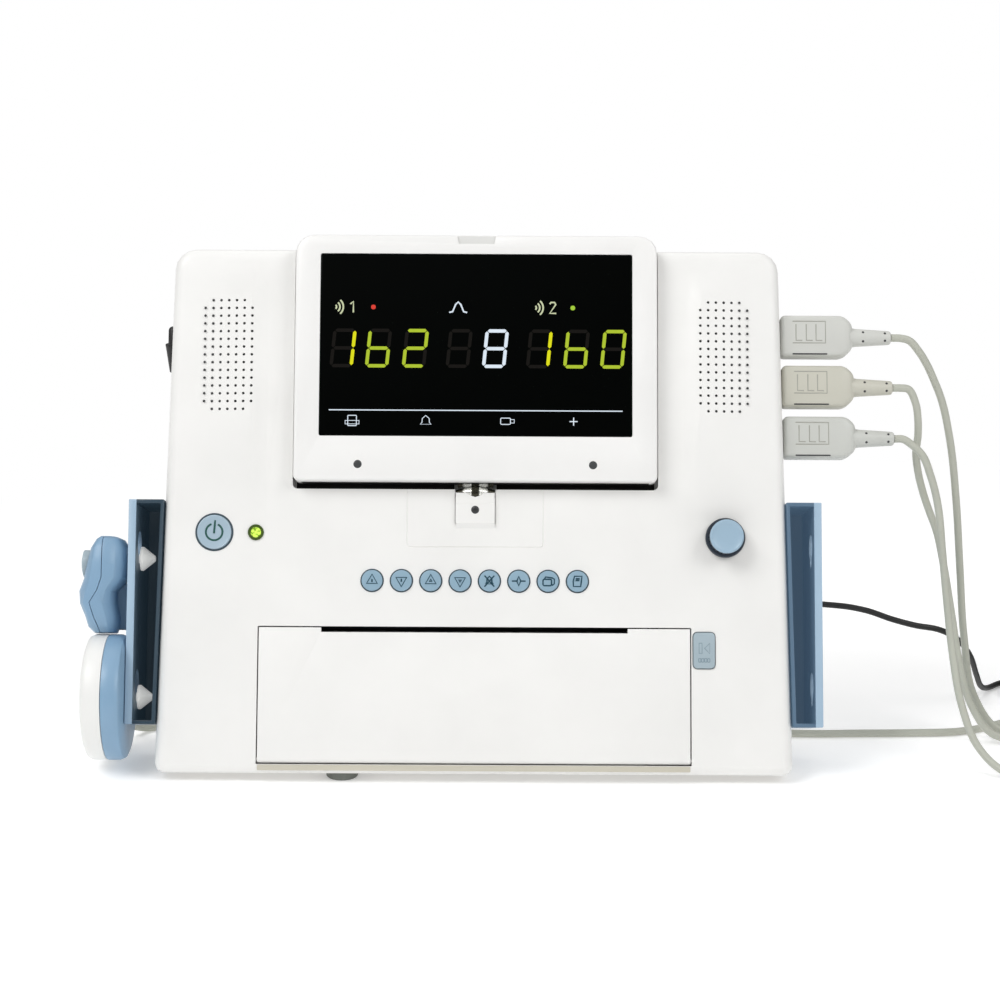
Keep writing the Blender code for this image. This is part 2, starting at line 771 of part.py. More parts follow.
def front_housing(face):
    """The front shell: face, rim, display pocket, hinge well and all the openings of the controls."""
    steps = 3
    rings = [(0.0, -FRONT_DEPTH)]
    for k in range(steps + 1):
        angle = math.pi / 2.0 * k / steps
        inset = RIM_FILLET * (1.0 - math.cos(angle))
        rings.append((inset, RIM_FILLET * (math.sin(angle) - 1.0)))
    shape = loft([[Vector((p[0], p[1], w)) for p in casing_outline(inset)] for inset, w in rings])
    middle = (COLUMN_INNER + COLUMN_CREST) / 2.0
    for side in (-1.0, 1.0):
        for u in (COLUMN_INNER, middle, COLUMN_CREST):
            slice_at(shape, (side * u, 0.0, 0.0), (1.0, 0.0, 0.0))
    foot_middle = (COLUMN_FOOT_LOW + COLUMN_FOOT_HIGH) / 2.0
    for v in (COLUMN_FOOT_LOW, foot_middle, COLUMN_FOOT_HIGH, COLUMN_HEAD_LOW, COLUMN_HEAD_HIGH):
        slice_at(shape, (0.0, v, 0.0), (0.0, 1.0, 0.0))
    for vert in shape.verts:
        if vert.co.z > -GAP:
            vert.co.z += column_lift(vert.co.x, vert.co.y)
    bmesh.ops.triangulate(shape, faces=[f for f in shape.faces if f.calc_center_median().z > -GAP])
    trim(shape, (0.0, 0.0, 0.0), -up_in_face())
    shell = piece("front_housing", shape, face, "housing_white")
    change(shell, front_cavity(face))
    cut(shell, display_pocket())
    cut(shell, hinge_well())
    add(shell, hinge_neck())
    radius, reach = BARREL_RADIUS + NECK_SCOOP_GAP, BARREL_LENGTH / 2.0 + WELL_GAP / 2.0
    cut(shell, along_x(turned([(radius, -reach), (radius, reach)])), (0.0, HINGE_V, HINGE_W))
    cut(shell, hinge_pin_holes(), (0.0, HINGE_V, HINGE_W))
    cut(shell, joined(control_holes()))
    cut(shell, door_opening())
    cut(shell, door_pin_holes(), (0.0, DOOR_LOW + DOOR_THICK / 2.0, -DOOR_THICK / 2.0))
    cut(shell, joined(side_holes()))
    return shell


def front_cavity(face):
    """The hollow of the front shell, which leaves the pocket, hinge and door bosses standing."""
    low = -FRONT_DEPTH
    hollow = tool("front_cavity", slab(casing_outline(WALL, low), low - OVERRUN, -WALL), face)
    pocket = CASE_WIDTH / 2.0 + POCKET_SIDE_GAP + WALL
    block = box(
        (-pocket, POCKET_LOW - WALL, -POCKET_DEPTH - WALL), (pocket, FACE_HEIGHT + OVERRUN, OVERRUN)
    )
    cut(hollow, block)
    boss = BARREL_LENGTH / 2.0 + WELL_GAP + HINGE_PIN_GRIP + WALL
    block = box(
        (-boss, NECK_LOW - WELL_GAP - WALL, -WELL_DEPTH - WALL), (boss, POCKET_LOW, OVERRUN)
    )
    cut(hollow, block)
    inner = DOOR_HALF_WIDTH + DOOR_GAP
    centre = DOOR_LOW + DOOR_THICK / 2.0
    bosses = []
    for side in (-1.0, 1.0):
        a, b = sorted((side * inner, side * (inner + DOOR_BOSS)))
        bosses.append(
            box((a, centre - DOOR_BOSS_LOW, -DOOR_BOSS_DEPTH), (b, centre + DOOR_BOSS, OVERRUN))
        )
    cut(hollow, joined(bosses))
    return hollow


def display_pocket():
    """The pocket that the display lies in, open at the top."""
    half = CASE_WIDTH / 2.0 + POCKET_SIDE_GAP
    top = FACE_HEIGHT + OVERRUN
    corners = [
        (-half, POCKET_LOW, CASE_FOOT_CORNER),
        (half, POCKET_LOW, CASE_FOOT_CORNER),
        (half, top, 0.0),
        (-half, top, 0.0),
    ]
    return slab(rounded(corners), -POCKET_DEPTH, COLUMN_RISE + OVERRUN)


def hinge_well():
    """The well of the hinge neck and barrel."""
    half = BARREL_LENGTH / 2.0 + WELL_GAP
    return box((-half, NECK_LOW - WELL_GAP, -WELL_DEPTH), (half, POCKET_LOW + OVERRUN, OVERRUN))


def hinge_pin_holes():
    """The blind holes that hold the ends of the hinge pin."""
    reach = BARREL_LENGTH / 2.0 + WELL_GAP + HINGE_PIN_GRIP
    return along_x(turned([(BARREL_BORE, -reach), (BARREL_BORE, reach)], SMALL_ROUND))


def door_pin_holes():
    """The blind holes that hold the paper door's pins."""
    reach = DOOR_HALF_WIDTH + DOOR_PIN_LENGTH + GAP
    return along_x(turned([(DOOR_PIN_HOLE, -reach), (DOOR_PIN_HOLE, reach)], SMALL_ROUND))


def key_u(number):
    """The place of a key along the row."""
    return (number - (KEY_COUNT - 1) / 2.0) * KEY_PITCH


def through(outline):
    """A cutter through the front wall."""
    return slab(outline, -WALL - OVERRUN, OVERRUN)


def control_holes():
    """The holes of the keys, power button, light, knob and door release."""
    holes = [through(circle(KEY_HOLE, ROUND, (key_u(k), KEY_V))) for k in range(KEY_COUNT)]
    holes.append(through(circle(POWER_HOLE, ROUND, (POWER_U, POWER_V))))
    holes.append(through(circle(LIGHT_HOLE, SMALL_ROUND, (LIGHT_U, POWER_V))))
    holes.append(through(circle(BUSH_HOLE, SMALL_ROUND, (KNOB_U, KNOB_V))))
    release = rectangle(
        RELEASE_WIDTH + 2.0 * RELEASE_GAP,
        RELEASE_HEIGHT + 2.0 * RELEASE_GAP,
        RELEASE_CORNER + RELEASE_GAP,
        (RELEASE_U, RELEASE_V),
    )
    holes.append(through(release))
    return holes


def door_opening():
    """The opening of the paper door and, above it, of the paper slot."""
    half = DOOR_HALF_WIDTH + DOOR_GAP
    low, high = DOOR_LOW - DOOR_GAP, DOOR_HIGH + DOOR_GAP
    corners = [
        (-half, low, 0.0),
        (half, low, 0.0),
        (half, high, DOOR_GAP),
        (-half, high, DOOR_GAP),
    ]
    return slab(rounded(corners), -DOOR_BOSS_DEPTH - OVERRUN, OVERRUN)


def side_holes():
    """The holes of the lead sockets in the right wall."""
    holes = []
    for v in SOCKET_VS:
        height, depth = NOSE_HEIGHT / 2.0 + GAP, NOSE_DEPTH / 2.0 + GAP
        start = half_width(v) - 2.0 * WALL
        low = (start, v - height, SOCKET_W - depth)
        high = (half_width(v) + OVERRUN, v + height, SOCKET_W + depth)
        holes.append(box(low, high))
    return holes


def offset_profile(points, inset):
    """A closed side outline with every edge moved inwards."""
    count = len(points)
    result = []
    for i, here in enumerate(points):
        before, after = points[i - 1], points[(i + 1) % count]
        a = (here - before).normalized()
        b = (after - here).normalized()
        across_a, across_b = Vector((-a.y, a.x)), Vector((-b.y, b.x))
        share = inset / (1.0 + across_a.dot(across_b))
        result.append(here + (across_a + across_b) * share)
    return result


def slab_profile(inset):
    """The rear shell's side outline in (y, z) of the stand frame, drawn in by an inset."""
    low = FOOT_HEIGHT - SLAB_DEPTH
    drop = (low - FOOT_HEIGHT) * math.tan(LEAN)
    corners = [
        Vector((drop, low)),
        Vector((SLAB_DEPTH / math.cos(LEAN) + drop, low)),
        Vector(face_to_stand(FACE_HEIGHT, -SLAB_DEPTH)),
        Vector(face_to_stand(FACE_HEIGHT, 0.0)),
    ]
    radii = [0.0, 0.0, max(BACK_FILLET - inset, GAP), 0.0]
    return rounded([(p.x, p.y, r) for p, r in zip(offset_profile(corners, inset), radii)])


def rear_solid(inset):
    """The rear casing's leaning part as a pillow with round side edges, in the stand frame."""
    steps = 4
    rows = []
    for side in (-1.0, 1.0):
        for k in range(steps + 1):
            angle = math.pi / 2.0 * (k if side < 0.0 else steps - k) / steps
            drawn = (BACK_FILLET - inset) * (1.0 - math.sin(angle))
            back = (BACK_FILLET - inset) * (1.0 - math.cos(angle))
            row = []
            for p in slab_profile(inset + drawn):
                v = (p.y - FOOT_HEIGHT) * math.cos(LEAN) + p.x * math.sin(LEAN)
                row.append(Vector((side * (half_width(v) - inset - back), p.x, p.y)))
            rows.append(row)
    return loft(rows)


def bin_solid(inset):
    """The paper bin behind the leaning part, drawn in by an inset, from below the base plane."""
    half, back, top = BIN_HALF_WIDTH - inset, BIN_DEPTH - inset, LEDGE_HEIGHT - inset
    corner = BIN_CORNER - inset
    rows = []
    for drawn, z in ((0.0, FOOT_HEIGHT - BIN_CORNER), (0.0, top - BIN_FILLET), (BIN_FILLET, top)):
        outline = rounded(
            [
                (-half + drawn, BIN_START, 0.0),
                (half - drawn, BIN_START, 0.0),
                (half - drawn, back - drawn, corner - drawn),
                (-half + drawn, back - drawn, corner - drawn),
            ]
        )
        rows.append([Vector((p.x, p.y, z)) for p in outline])
    return loft(rows)


def rear_housing(stand, face):
    """The rear shell with the paper bin, open at its front and underneath."""
    front_way = Vector((0.0, -math.cos(LEAN), math.sin(LEAN)))
    at = Vector((0.0, *face_to_stand(0.0, -FRONT_DEPTH - GAP)))
    shape = trim(rear_solid(0.0), at, front_way)
    shell = piece("rear_housing", shape, stand, "housing_white")
    add(shell, bin_solid(0.0))
    cut(shell, rear_solid(WALL))
    cut(shell, bin_solid(WALL))
    reach = HALF_WIDTH_LOW + BIN_DEPTH
    cut(shell, box((-reach, -reach, -reach), (reach, reach, FOOT_HEIGHT)))
    outer = half_width(SUPPLY_V)
    profile = [(SUPPLY_HOLE, -outer - OVERRUN), (SUPPLY_HOLE, -outer + 2.0 * WALL)]
    bore = along_x(turned(profile, SMALL_ROUND))
    change(shell, tool("supply_hole", bore, face, (0.0, SUPPLY_V, SUPPLY_W)))
    return shell


def base_plate(stand):
    """The bottom cover, wide under the leaning part and narrow under the paper bin."""
    front = face_to_stand(WALL, -WALL)[0] + LOOSE
    middle = (SLAB_DEPTH - WALL) / math.cos(LEAN) - GAP
    half = half_width(middle * math.sin(LEAN)) - WALL - GAP
    inner, back = BIN_HALF_WIDTH - WALL - GAP, BIN_DEPTH - WALL - GAP
    corners = [
        (-half, front, BOTTOM_CORNER),
        (half, front, BOTTOM_CORNER),
        (half, middle, BACK_FILLET),
        (inner, middle, 0.0),
        (inner, back, BIN_CORNER),
        (-inner, back, BIN_CORNER),
        (-inner, middle, 0.0),
        (-half, middle, BACK_FILLET),
    ]
    shape = slab(rounded(corners), FOOT_HEIGHT, FOOT_HEIGHT + WALL)
    plate = piece("base_plate", shape, stand, "housing_white")
    add(plate, joined([moved(foot_shape(FOOT_HEIGHT + WALL / 2.0), (x, y, 0.0)) for x, y in foot_places()]))
    return plate


def foot_places():
    """The four feet of the bottom cover: a pair near the front and a pair under the bin."""
    side = HALF_WIDTH_LOW - FOOT_INSET_U
    front = [(-side, FOOT_FRONT), (side, FOOT_FRONT)]
    return front + [(-FOOT_REAR_X, FOOT_REAR_Y), (FOOT_REAR_X, FOOT_REAR_Y)]


def foot_shape(top):
    """A round foot with a soft lower edge."""
    return turned([(FOOT_RADIUS - FOOT_EDGE, 0.0), (FOOT_RADIUS, FOOT_EDGE), (FOOT_RADIUS, top)])


def front_foot(stand):
    """The rubber bumper under the front edge."""
    return piece("front_foot", foot_shape(FOOT_HEIGHT - GAP), stand, "foot_rubber", (BUMPER_U, BUMPER_Y, 0.0))


def case_outline(inset, corner=CASE_CORNER):
    """The display case's outline, drawn in by an inset."""
    half = CASE_WIDTH / 2.0 - inset
    low, high = CASE_LOW + inset, CASE_LOW + CASE_HEIGHT - inset
    foot = max(CASE_FOOT_CORNER - inset, GAP)
    head = max(corner - inset, GAP)
    return rounded([(-half, low, foot), (half, low, foot), (half, high, head), (-half, high, head)])


def hinged(outline):
    """An outline in face places, moved so that the hinge axis is its origin."""
    return [Vector((p[0], p[1] - HINGE_V)) for p in outline]


def display_bezel(tilt):
    """The display's front frame."""
    front, split = CASE_FRONT - HINGE_W, CASE_SPLIT + GAP - HINGE_W
    soft = CASE_FILLET * ARC_SHARE
    rings = [(0.0, split), (0.0, front - CASE_FILLET), (soft, front - soft), (CASE_FILLET, front)]
    shape = loft([[Vector((*p, w)) for p in hinged(case_outline(inset))] for inset, w in rings])
    bezel = piece("display_bezel", shape, tilt, "bezel_white")
    inner = front - CASE_WALL - GAP
    cut(bezel, slab(hinged(case_outline(CASE_WALL)), split - OVERRUN, inner))
    middle = WINDOW_LOW + WINDOW_HEIGHT / 2.0 - HINGE_V
    opening = rectangle(WINDOW_WIDTH + 2.0 * GAP, WINDOW_HEIGHT + 2.0 * GAP, LOOSE, (0.0, middle))
    cut(bezel, slab(opening, inner - OVERRUN, front + OVERRUN))
    top = CASE_LOW + CASE_HEIGHT - HINGE_V
    slant = TAB_HEIGHT / 3.0
    half = TAB_WIDTH / 2.0
    notch = [(-half + slant, top - TAB_HEIGHT), (half - slant, top - TAB_HEIGHT)]
    notch += [(half, top + OVERRUN), (-half, top + OVERRUN)]
    cut(bezel, slab(notch, front - TAB_DEPTH, front + OVERRUN))
    return bezel


def display_back(tilt):
    """The display's rear shell, with a slot for the hinge tongue."""
    back, split = -CASE_BACK - HINGE_W, CASE_SPLIT - HINGE_W
    soft = CASE_FILLET * ARC_SHARE
    rings = [(CASE_FILLET, back), (soft, back + soft), (0.0, back + CASE_FILLET), (0.0, split)]
    shape = loft([[Vector((*p, w)) for p in hinged(case_outline(inset))] for inset, w in rings])
    shell = piece("display_back", shape, tilt, "bezel_white")
    cut(shell, slab(hinged(case_outline(CASE_WALL)), back + CASE_WALL, split + OVERRUN))
    half = TONGUE_WIDTH / 2.0 + GAP
    low = CASE_LOW - HINGE_V - OVERRUN
    high = CASE_LOW - HINGE_V + CASE_WALL + OVERRUN
    floor = back + CASE_WALL
    cut(shell, box((-half, low, floor), (half, high, floor + TONGUE_THICK + LOOSE)))
    return shell


def display_window(tilt):
    """The black glass in front of the screen."""
    front = CASE_FRONT - WINDOW_SET_BACK - HINGE_W
    middle = WINDOW_LOW + WINDOW_HEIGHT / 2.0 - HINGE_V
    outline = rectangle(WINDOW_WIDTH, WINDOW_HEIGHT, WINDOW_CORNER, (0.0, middle))
    return piece("display_window", slab(outline, front - WINDOW_THICK, front), tilt, "black_glass")


def lcd_panel(tilt):
    """The screen behind the glass, with its driver board."""
    front = CASE_FRONT - WINDOW_SET_BACK - WINDOW_THICK - GAP - HINGE_W
    middle = WINDOW_LOW + WINDOW_HEIGHT / 2.0 - HINGE_V
    outline = rectangle(PANEL_WIDTH, PANEL_HEIGHT, 0.0, (0.0, middle))
    panel = piece("lcd_panel", slab(outline, front - PANEL_THICK, front), tilt, "dark_plastic")
    board = rectangle(DRIVER_WIDTH, DRIVER_HEIGHT, 0.0, (0.0, middle))
    low = front - PANEL_THICK - BOARD_THICK
    add(panel, slab(board, low, front - PANEL_THICK / 2.0))
    return panel


def hinge_barrel(tilt):
    """The chrome sleeve that turns with the display, and its tongue."""
    half = BARREL_LENGTH / 2.0 - GAP
    edge = BARREL_RADIUS - GAP
    profile = [
        (BARREL_BORE, -half),
        (edge, -half),
        (BARREL_RADIUS, -half + GAP),
        (BARREL_RADIUS, half - GAP),
        (edge, half),
        (BARREL_BORE, half),
    ]
    sleeve = piece("hinge_barrel", along_x(turned(profile, ROUND, closed=True)), tilt, "chrome")
    rear = -CASE_BACK + CASE_WALL + GAP - HINGE_W
    tongue = box(
        (-TONGUE_WIDTH / 2.0, 0.0, rear), (TONGUE_WIDTH / 2.0, TONGUE_LENGTH, rear + TONGUE_THICK)
    )
    add(sleeve, tongue)
    return sleeve


def hinge_pin(face):
    """The fixed pin through the barrel."""
    reach = BARREL_LENGTH / 2.0 + WELL_GAP + HINGE_PIN_GRIP - GAP
    shape = along_x(turned([(HINGE_PIN_RADIUS, -reach), (HINGE_PIN_RADIUS, reach)], SMALL_ROUND))
    return piece("hinge_pin", shape, face, "steel", (0.0, HINGE_V, HINGE_W))


def hinge_neck():
    """The block under the barrel, standing in the well."""
    half = BARREL_LENGTH / 2.0
    low = (-half, NECK_LOW, -WELL_DEPTH - WALL / 2.0)
    return box(low, (half, HINGE_V - NECK_TOP_GAP, NECK_FRONT))


def cap_shape(radius, rise, stem, flange, dome):
    """A round button: a domed cap, its stem and the flange that keeps it in its hole."""
    back = -WALL - RUNNING
    profile = [
        (radius - flange, back - FLANGE_THICK - stem),
        (radius - flange, back - FLANGE_THICK),
        (radius + flange, back - FLANGE_THICK),
        (radius + flange, back),
        (radius, back),
        (radius, rise - dome),
        (radius - dome, rise - dome * ARC_SHARE),
        (radius * CAP_TOP_SHARE, rise),
    ]
    return turned(profile, CAP_ROUND)


def keys(face):
    """The row of round keys, one node each."""
    return [
        piece(
            f"key_{number + 1}",
            cap_shape(KEY_RADIUS, KEY_RISE, GAP, KEY_FLANGE, KEY_DOME),
            face,
            "key_blue",
            (key_u(number), KEY_V, 0.0),
        )
        for number in range(KEY_COUNT)
    ]


def power_button(face):
    """The round power button."""
    shape = cap_shape(POWER_RADIUS, POWER_RISE, GAP, POWER_FLANGE, KEY_DOME)
    return piece("power_button", shape, face, "button_grey", (POWER_U, POWER_V, 0.0))


def power_light(face):
    """The green light's lens."""
    shape = cap_shape(LIGHT_RADIUS, LIGHT_RISE, GAP, KEY_FLANGE, LIGHT_DOME)
    return piece("power_light", shape, face, "light_green", (LIGHT_U, POWER_V, 0.0))


def button_board(face):
    """The circuit board behind the keys and the power button, on its pillars."""
    edge = KEY_BOARD_WIDTH / 2.0
    low, high = KEY_V - KEY_BOARD_HEIGHT / 2.0, KEY_V + KEY_BOARD_HEIGHT / 2.0
    middle = (POWER_U + LIGHT_U) / 2.0
    left, right = middle - POWER_BOARD_WIDTH / 2.0, middle + POWER_BOARD_WIDTH / 2.0
    top = POWER_V + POWER_BOARD_HEIGHT / 2.0
    outline = [
        (-edge, low),
        (edge, low),
        (edge, high),
        (BRIDGE_END, high),
        (BRIDGE_END, BRIDGE_HIGH),
        (right, BRIDGE_HIGH),
        (right, top),
        (left, top),
        (left, BRIDGE_LOW),
        (-edge, BRIDGE_LOW),
    ]
    back = -BOARD_BACK - BOARD_THICK
    board = piece("button_board", slab(outline, back, -BOARD_BACK), face, "circuit_green")
    places = [(edge - PILLAR_RADIUS, KEY_V), (PILLAR_RADIUS - edge, KEY_V)]
    places += [(right - PILLAR_RADIUS, top - PILLAR_RADIUS), (left + PILLAR_RADIUS, BRIDGE_LOW + PILLAR_RADIUS)]
    profile = [(PILLAR_RADIUS, back + BOARD_THICK / 2.0), (PILLAR_RADIUS, -WALL - GAP)]
    add(board, joined([moved(turned(profile, SMALL_ROUND), (u, v, 0.0)) for u, v in places]))
    return board


def knob(face):
    """The rotary knob with its skirt, bored for the encoder's shaft."""
    low = GAP
    bore = SHAFT_RADIUS + GAP
    profile = [
        (bore, low + KNOB_BORE_DEPTH),
        (bore, low),
        (KNOB_SKIRT, low),
        (KNOB_SKIRT, KNOB_SKIRT_RISE),
        (KNOB_RADIUS, KNOB_SKIRT_RISE + GAP),
        (KNOB_RADIUS, KNOB_RISE - KNOB_DOME),
        (KNOB_RADIUS - KNOB_DOME, KNOB_RISE - GAP),
        (KNOB_RADIUS * KNOB_TOP_SHARE, KNOB_RISE),
    ]
    return piece("knob", turned(profile), face, "knob_blue", (KNOB_U, KNOB_V, 0.0))


def encoder(face):
    """The encoder behind the front wall, with its shaft."""
    front = -WALL - GAP
    outline = rectangle(ENCODER_SIZE, ENCODER_SIZE, 0.0, (KNOB_U, KNOB_V))
    body = piece("encoder", slab(outline, front - ENCODER_DEPTH, front), face, "dark_plastic")
    shaft = turned([(SHAFT_RADIUS, front - OVERRUN), (SHAFT_RADIUS, KNOB_BORE_DEPTH)], SMALL_ROUND)
    add(body, shaft, (KNOB_U, KNOB_V, 0.0))
    return body


def door_axis():
    """The paper door's hinge axis, as (v, w)."""
    return DOOR_LOW + DOOR_THICK / 2.0, -DOOR_THICK / 2.0


def paper_door(door):
    """The paper door, in the frame of its hinge axis: round lower edge, tabs, and the slot between them."""
    v, _ = door_axis()
    half, thick = DOOR_HALF_WIDTH, DOOR_THICK / 2.0
    high = DOOR_HIGH - v
    steps = 6
    edge = []
    for k in range(steps + 1):
        angle = math.pi * k / steps
        edge.append((-thick * math.sin(angle), thick * math.cos(angle)))
    side = [(high, thick)] + edge + [(high, -thick)]
    rows = [[Vector((x, a, b)) for a, b in side] for x in (-half, half)]
    plate = piece("paper_door", loft(rows), door, "housing_white")
    slot = half - DOOR_TAB_WIDTH
    top = high + OVERRUN
    cut(plate, box((-slot, high - SLOT_HEIGHT, -DOOR_THICK), (slot, top, DOOR_THICK)))
    reach = half + DOOR_PIN_LENGTH
    pins = []
    for turn in (-1.0, 1.0):
        a, b = sorted((turn * (half - OVERRUN), turn * reach))
        pins.append(along_x(turned([(DOOR_PIN_RADIUS, a), (DOOR_PIN_RADIUS, b)], SMALL_ROUND)))
    add(plate, joined(pins))
    return plate


def door_release(face):
    """The sprung push button that frees the door."""
    back = -WALL - RUNNING
    stem = slab(
        rectangle(RELEASE_WIDTH, RELEASE_HEIGHT, RELEASE_CORNER), back - FLANGE_THICK / 2.0, RELEASE_RISE
    )
    button = piece("door_release", stem, face, "button_grey", (RELEASE_U, RELEASE_V, 0.0))
    wide, tall = RELEASE_WIDTH + 2.0 * KEY_FLANGE, RELEASE_HEIGHT + 2.0 * KEY_FLANGE
    flange = slab(rectangle(wide, tall, RELEASE_CORNER), back - FLANGE_THICK - RELEASE_STEM, back)
    add(button, flange, (RELEASE_U, RELEASE_V, 0.0))
    return button


def door_plane(gap):
    """A point and a normal, in the stand frame, of the plane that lies a gap behind the door."""
    y, z = face_to_stand(0.0, -DOOR_THICK - gap)
    return Vector((0.0, y, z)), Vector((0.0, -math.cos(LEAN), math.sin(LEAN)))


def tray_top():
    """The tray's upper edge, on which the printer frame's lower corners rest."""
    return face_to_stand(FRAME_LOW, -FRAME_BACK)[1] - GAP


def paper_tray(stand):
    """The bin that holds the paper, open above and towards the door."""
    floor = FOOT_HEIGHT + WALL + GAP
    shape = box((-TRAY_HALF_WIDTH, 0.0, floor), (TRAY_HALF_WIDTH, TRAY_BACK, tray_top()))
    point, normal = door_plane(TRAY_DOOR_GAP)
    trim(shape, point, normal)
    tray = piece("paper_tray", shape, stand, "dark_plastic")
    inner = TRAY_HALF_WIDTH - TRAY_WALL
    hollow = box(
        (-inner, -OVERRUN, floor + TRAY_WALL), (inner, TRAY_BACK - TRAY_WALL, tray_top() + OVERRUN)
    )
    cut(tray, hollow)
    return tray


def paper_stack(stand):
    """The fan-folded paper."""
    floor = FOOT_HEIGHT + WALL + GAP + TRAY_WALL + GAP
    half = PAPER_WIDTH / 2.0
    shape = box((-half, PAPER_FRONT, floor), (half, PAPER_BACK, floor + PAPER_HEIGHT))
    return piece("paper_stack", shape, stand, "paper")


def motor_place():
    """The motor's axis in the face frame, as (v, w)."""
    reach = GEAR_MODULE * (GEAR_TEETH + PINION_TEETH) / 2.0 + GEAR_SLACK
    return (
        PLATEN_V + reach * math.cos(MESH_ANGLE),
        PLATEN_W - reach * math.sin(MESH_ANGLE),
    )


def printer_frame(face):
    """The printer's folded frame: two side plates and a back plate."""
    half = FRAME_HALF_WIDTH
    block = box((-half, FRAME_LOW, -FRAME_BACK), (half, FRAME_HIGH, -FRAME_FRONT))
    frame = piece("printer_frame", block, face, "steel")
    inner = half - FRAME_THICK
    front = -FRAME_BACK + FRAME_THICK
    hollow = box(
        (-inner, FRAME_LOW - OVERRUN, front), (inner, FRAME_HIGH + OVERRUN, -FRAME_FRONT + OVERRUN)
    )
    cut(frame, hollow)
    reach = half + OVERRUN
    hole = PLATEN_SHAFT + GAP
    cut(frame, along_x(turned([(hole, -reach), (hole, reach)], SMALL_ROUND)), (0.0, PLATEN_V, PLATEN_W))
    v, w = motor_place()
    add(frame, printer_motor(), (0.0, v, w))
    return frame


def platen_roller(face):
    """The rubber roller on its shaft, with its gear outside the frame."""
    half = PLATEN_LENGTH / 2.0
    left = FRAME_HALF_WIDTH + OVERRUN
    right = FRAME_HALF_WIDTH + GEAR_PLANE + GEAR_WIDTH + OVERRUN
    profile = [
        (PLATEN_SHAFT, -left),
        (PLATEN_SHAFT, -half),
        (PLATEN_RADIUS, -half),
        (PLATEN_RADIUS, half),
        (PLATEN_SHAFT, half),
        (PLATEN_SHAFT, right),
    ]
    at = (0.0, PLATEN_V, PLATEN_W)
    roller = piece("platen_roller", along_x(turned(profile)), face, "roller_rubber", at)
    wheel = gear_shape(GEAR_TEETH, PLATEN_SHAFT - GEAR_BORE_GAP, -MESH_ANGLE)
    add(roller, along_x(wheel, (FRAME_HALF_WIDTH + GEAR_PLANE, 0.0, 0.0)), at)
    return roller


def gear_shape(teeth, bore, phase):
    """A spur gear with straight flanks, bored, from z 0 to its width."""
    pitch = GEAR_MODULE * teeth / 2.0
    tip, root = pitch + ADDENDUM_SHARE * GEAR_MODULE, pitch - DEDENDUM_SHARE * GEAR_MODULE
    outline, bores = [], []
    for tooth in range(teeth):
        middle = 2.0 * math.pi * tooth / teeth + phase
        for share, radius in (
            (-TOOTH_SHARE - TOOTH_SPREAD, root),
            (-TOOTH_TIP_SHARE, tip),
            (TOOTH_TIP_SHARE, tip),
            (TOOTH_SHARE + TOOTH_SPREAD, root),
        ):
            angle = middle + share * math.pi / teeth
            outline.append(Vector((radius * math.cos(angle), radius * math.sin(angle))))
            bores.append(Vector((bore * math.cos(angle), bore * math.sin(angle))))
    rings = [
        [Vector((*p, z)) for p in line]
        for line, z in ((bores, 0.0), (outline, 0.0), (outline, GEAR_WIDTH), (bores, GEAR_WIDTH))
    ]
    return loft(rings, closed=True)


def motor_pinion(face):
    """The motor's pinion, in mesh with the platen's gear."""
    phase = -MESH_ANGLE + math.pi + math.pi / PINION_TEETH
    shape = gear_shape(PINION_TEETH, MOTOR_SHAFT + GEAR_BORE_GAP, phase)
    at = (0.0, *motor_place())
    start = (FRAME_HALF_WIDTH + GEAR_PLANE, 0.0, 0.0)
    return piece("motor_pinion", along_x(shape, start), face, "gear_white", at, smooth=False)


def printer_motor():
    """The paper motor on the inside of the right side plate, with its shaft through the plate."""
    inner = FRAME_HALF_WIDTH - FRAME_THICK
    end = FRAME_HALF_WIDTH + GEAR_PLANE + GEAR_WIDTH + OVERRUN / 2.0
    profile = [
        (MOTOR_RADIUS, inner - MOTOR_LENGTH),
        (MOTOR_RADIUS, inner + FRAME_THICK / 2.0),
        (MOTOR_SHAFT, inner + FRAME_THICK / 2.0),
        (MOTOR_SHAFT, end),
    ]
    return along_x(turned(profile))


def print_head(face):
    """The thermal head bar behind the roller, on the frame's back plate."""
    front = PLATEN_W - PLATEN_RADIUS - HEAD_GAP
    back = -FRAME_BACK + FRAME_THICK + GAP
    half = PLATEN_LENGTH / 2.0
    low = PLATEN_V - HEAD_HEIGHT / 2.0 - GAP
    high = min(low + HEAD_HEIGHT, motor_place()[0] - MOTOR_RADIUS - GAP)
    bar = box((-half, low, front - HEAD_THICK), (half, high, front))
    head = piece("print_head", bar, face, "dark_plastic")
    side = half * HEAD_FOOT_SHARE
    foot = box((-side, low, back), (side, high, front - HEAD_THICK / 2.0))
    add(head, foot)
    return head


def speaker(face, side, name):
    """An oblong speaker behind a grille, with its round magnet."""
    front = -WALL - GAP
    rim = front - SPEAKER_RIM
    place = (side * SPEAKER_U, SPEAKER_V)
    plate = slab(rectangle(SPEAKER_WIDTH, SPEAKER_HEIGHT, SPEAKER_CORNER, place), rim, front)
    node = piece(name, plate, face, "dark_plastic")
    magnet = [(MAGNET_RADIUS, rim - MAGNET_DEPTH), (MAGNET_RADIUS, front - SPEAKER_RIM / 2.0)]
    add(node, turned(magnet), (*place, 0.0))
    return node


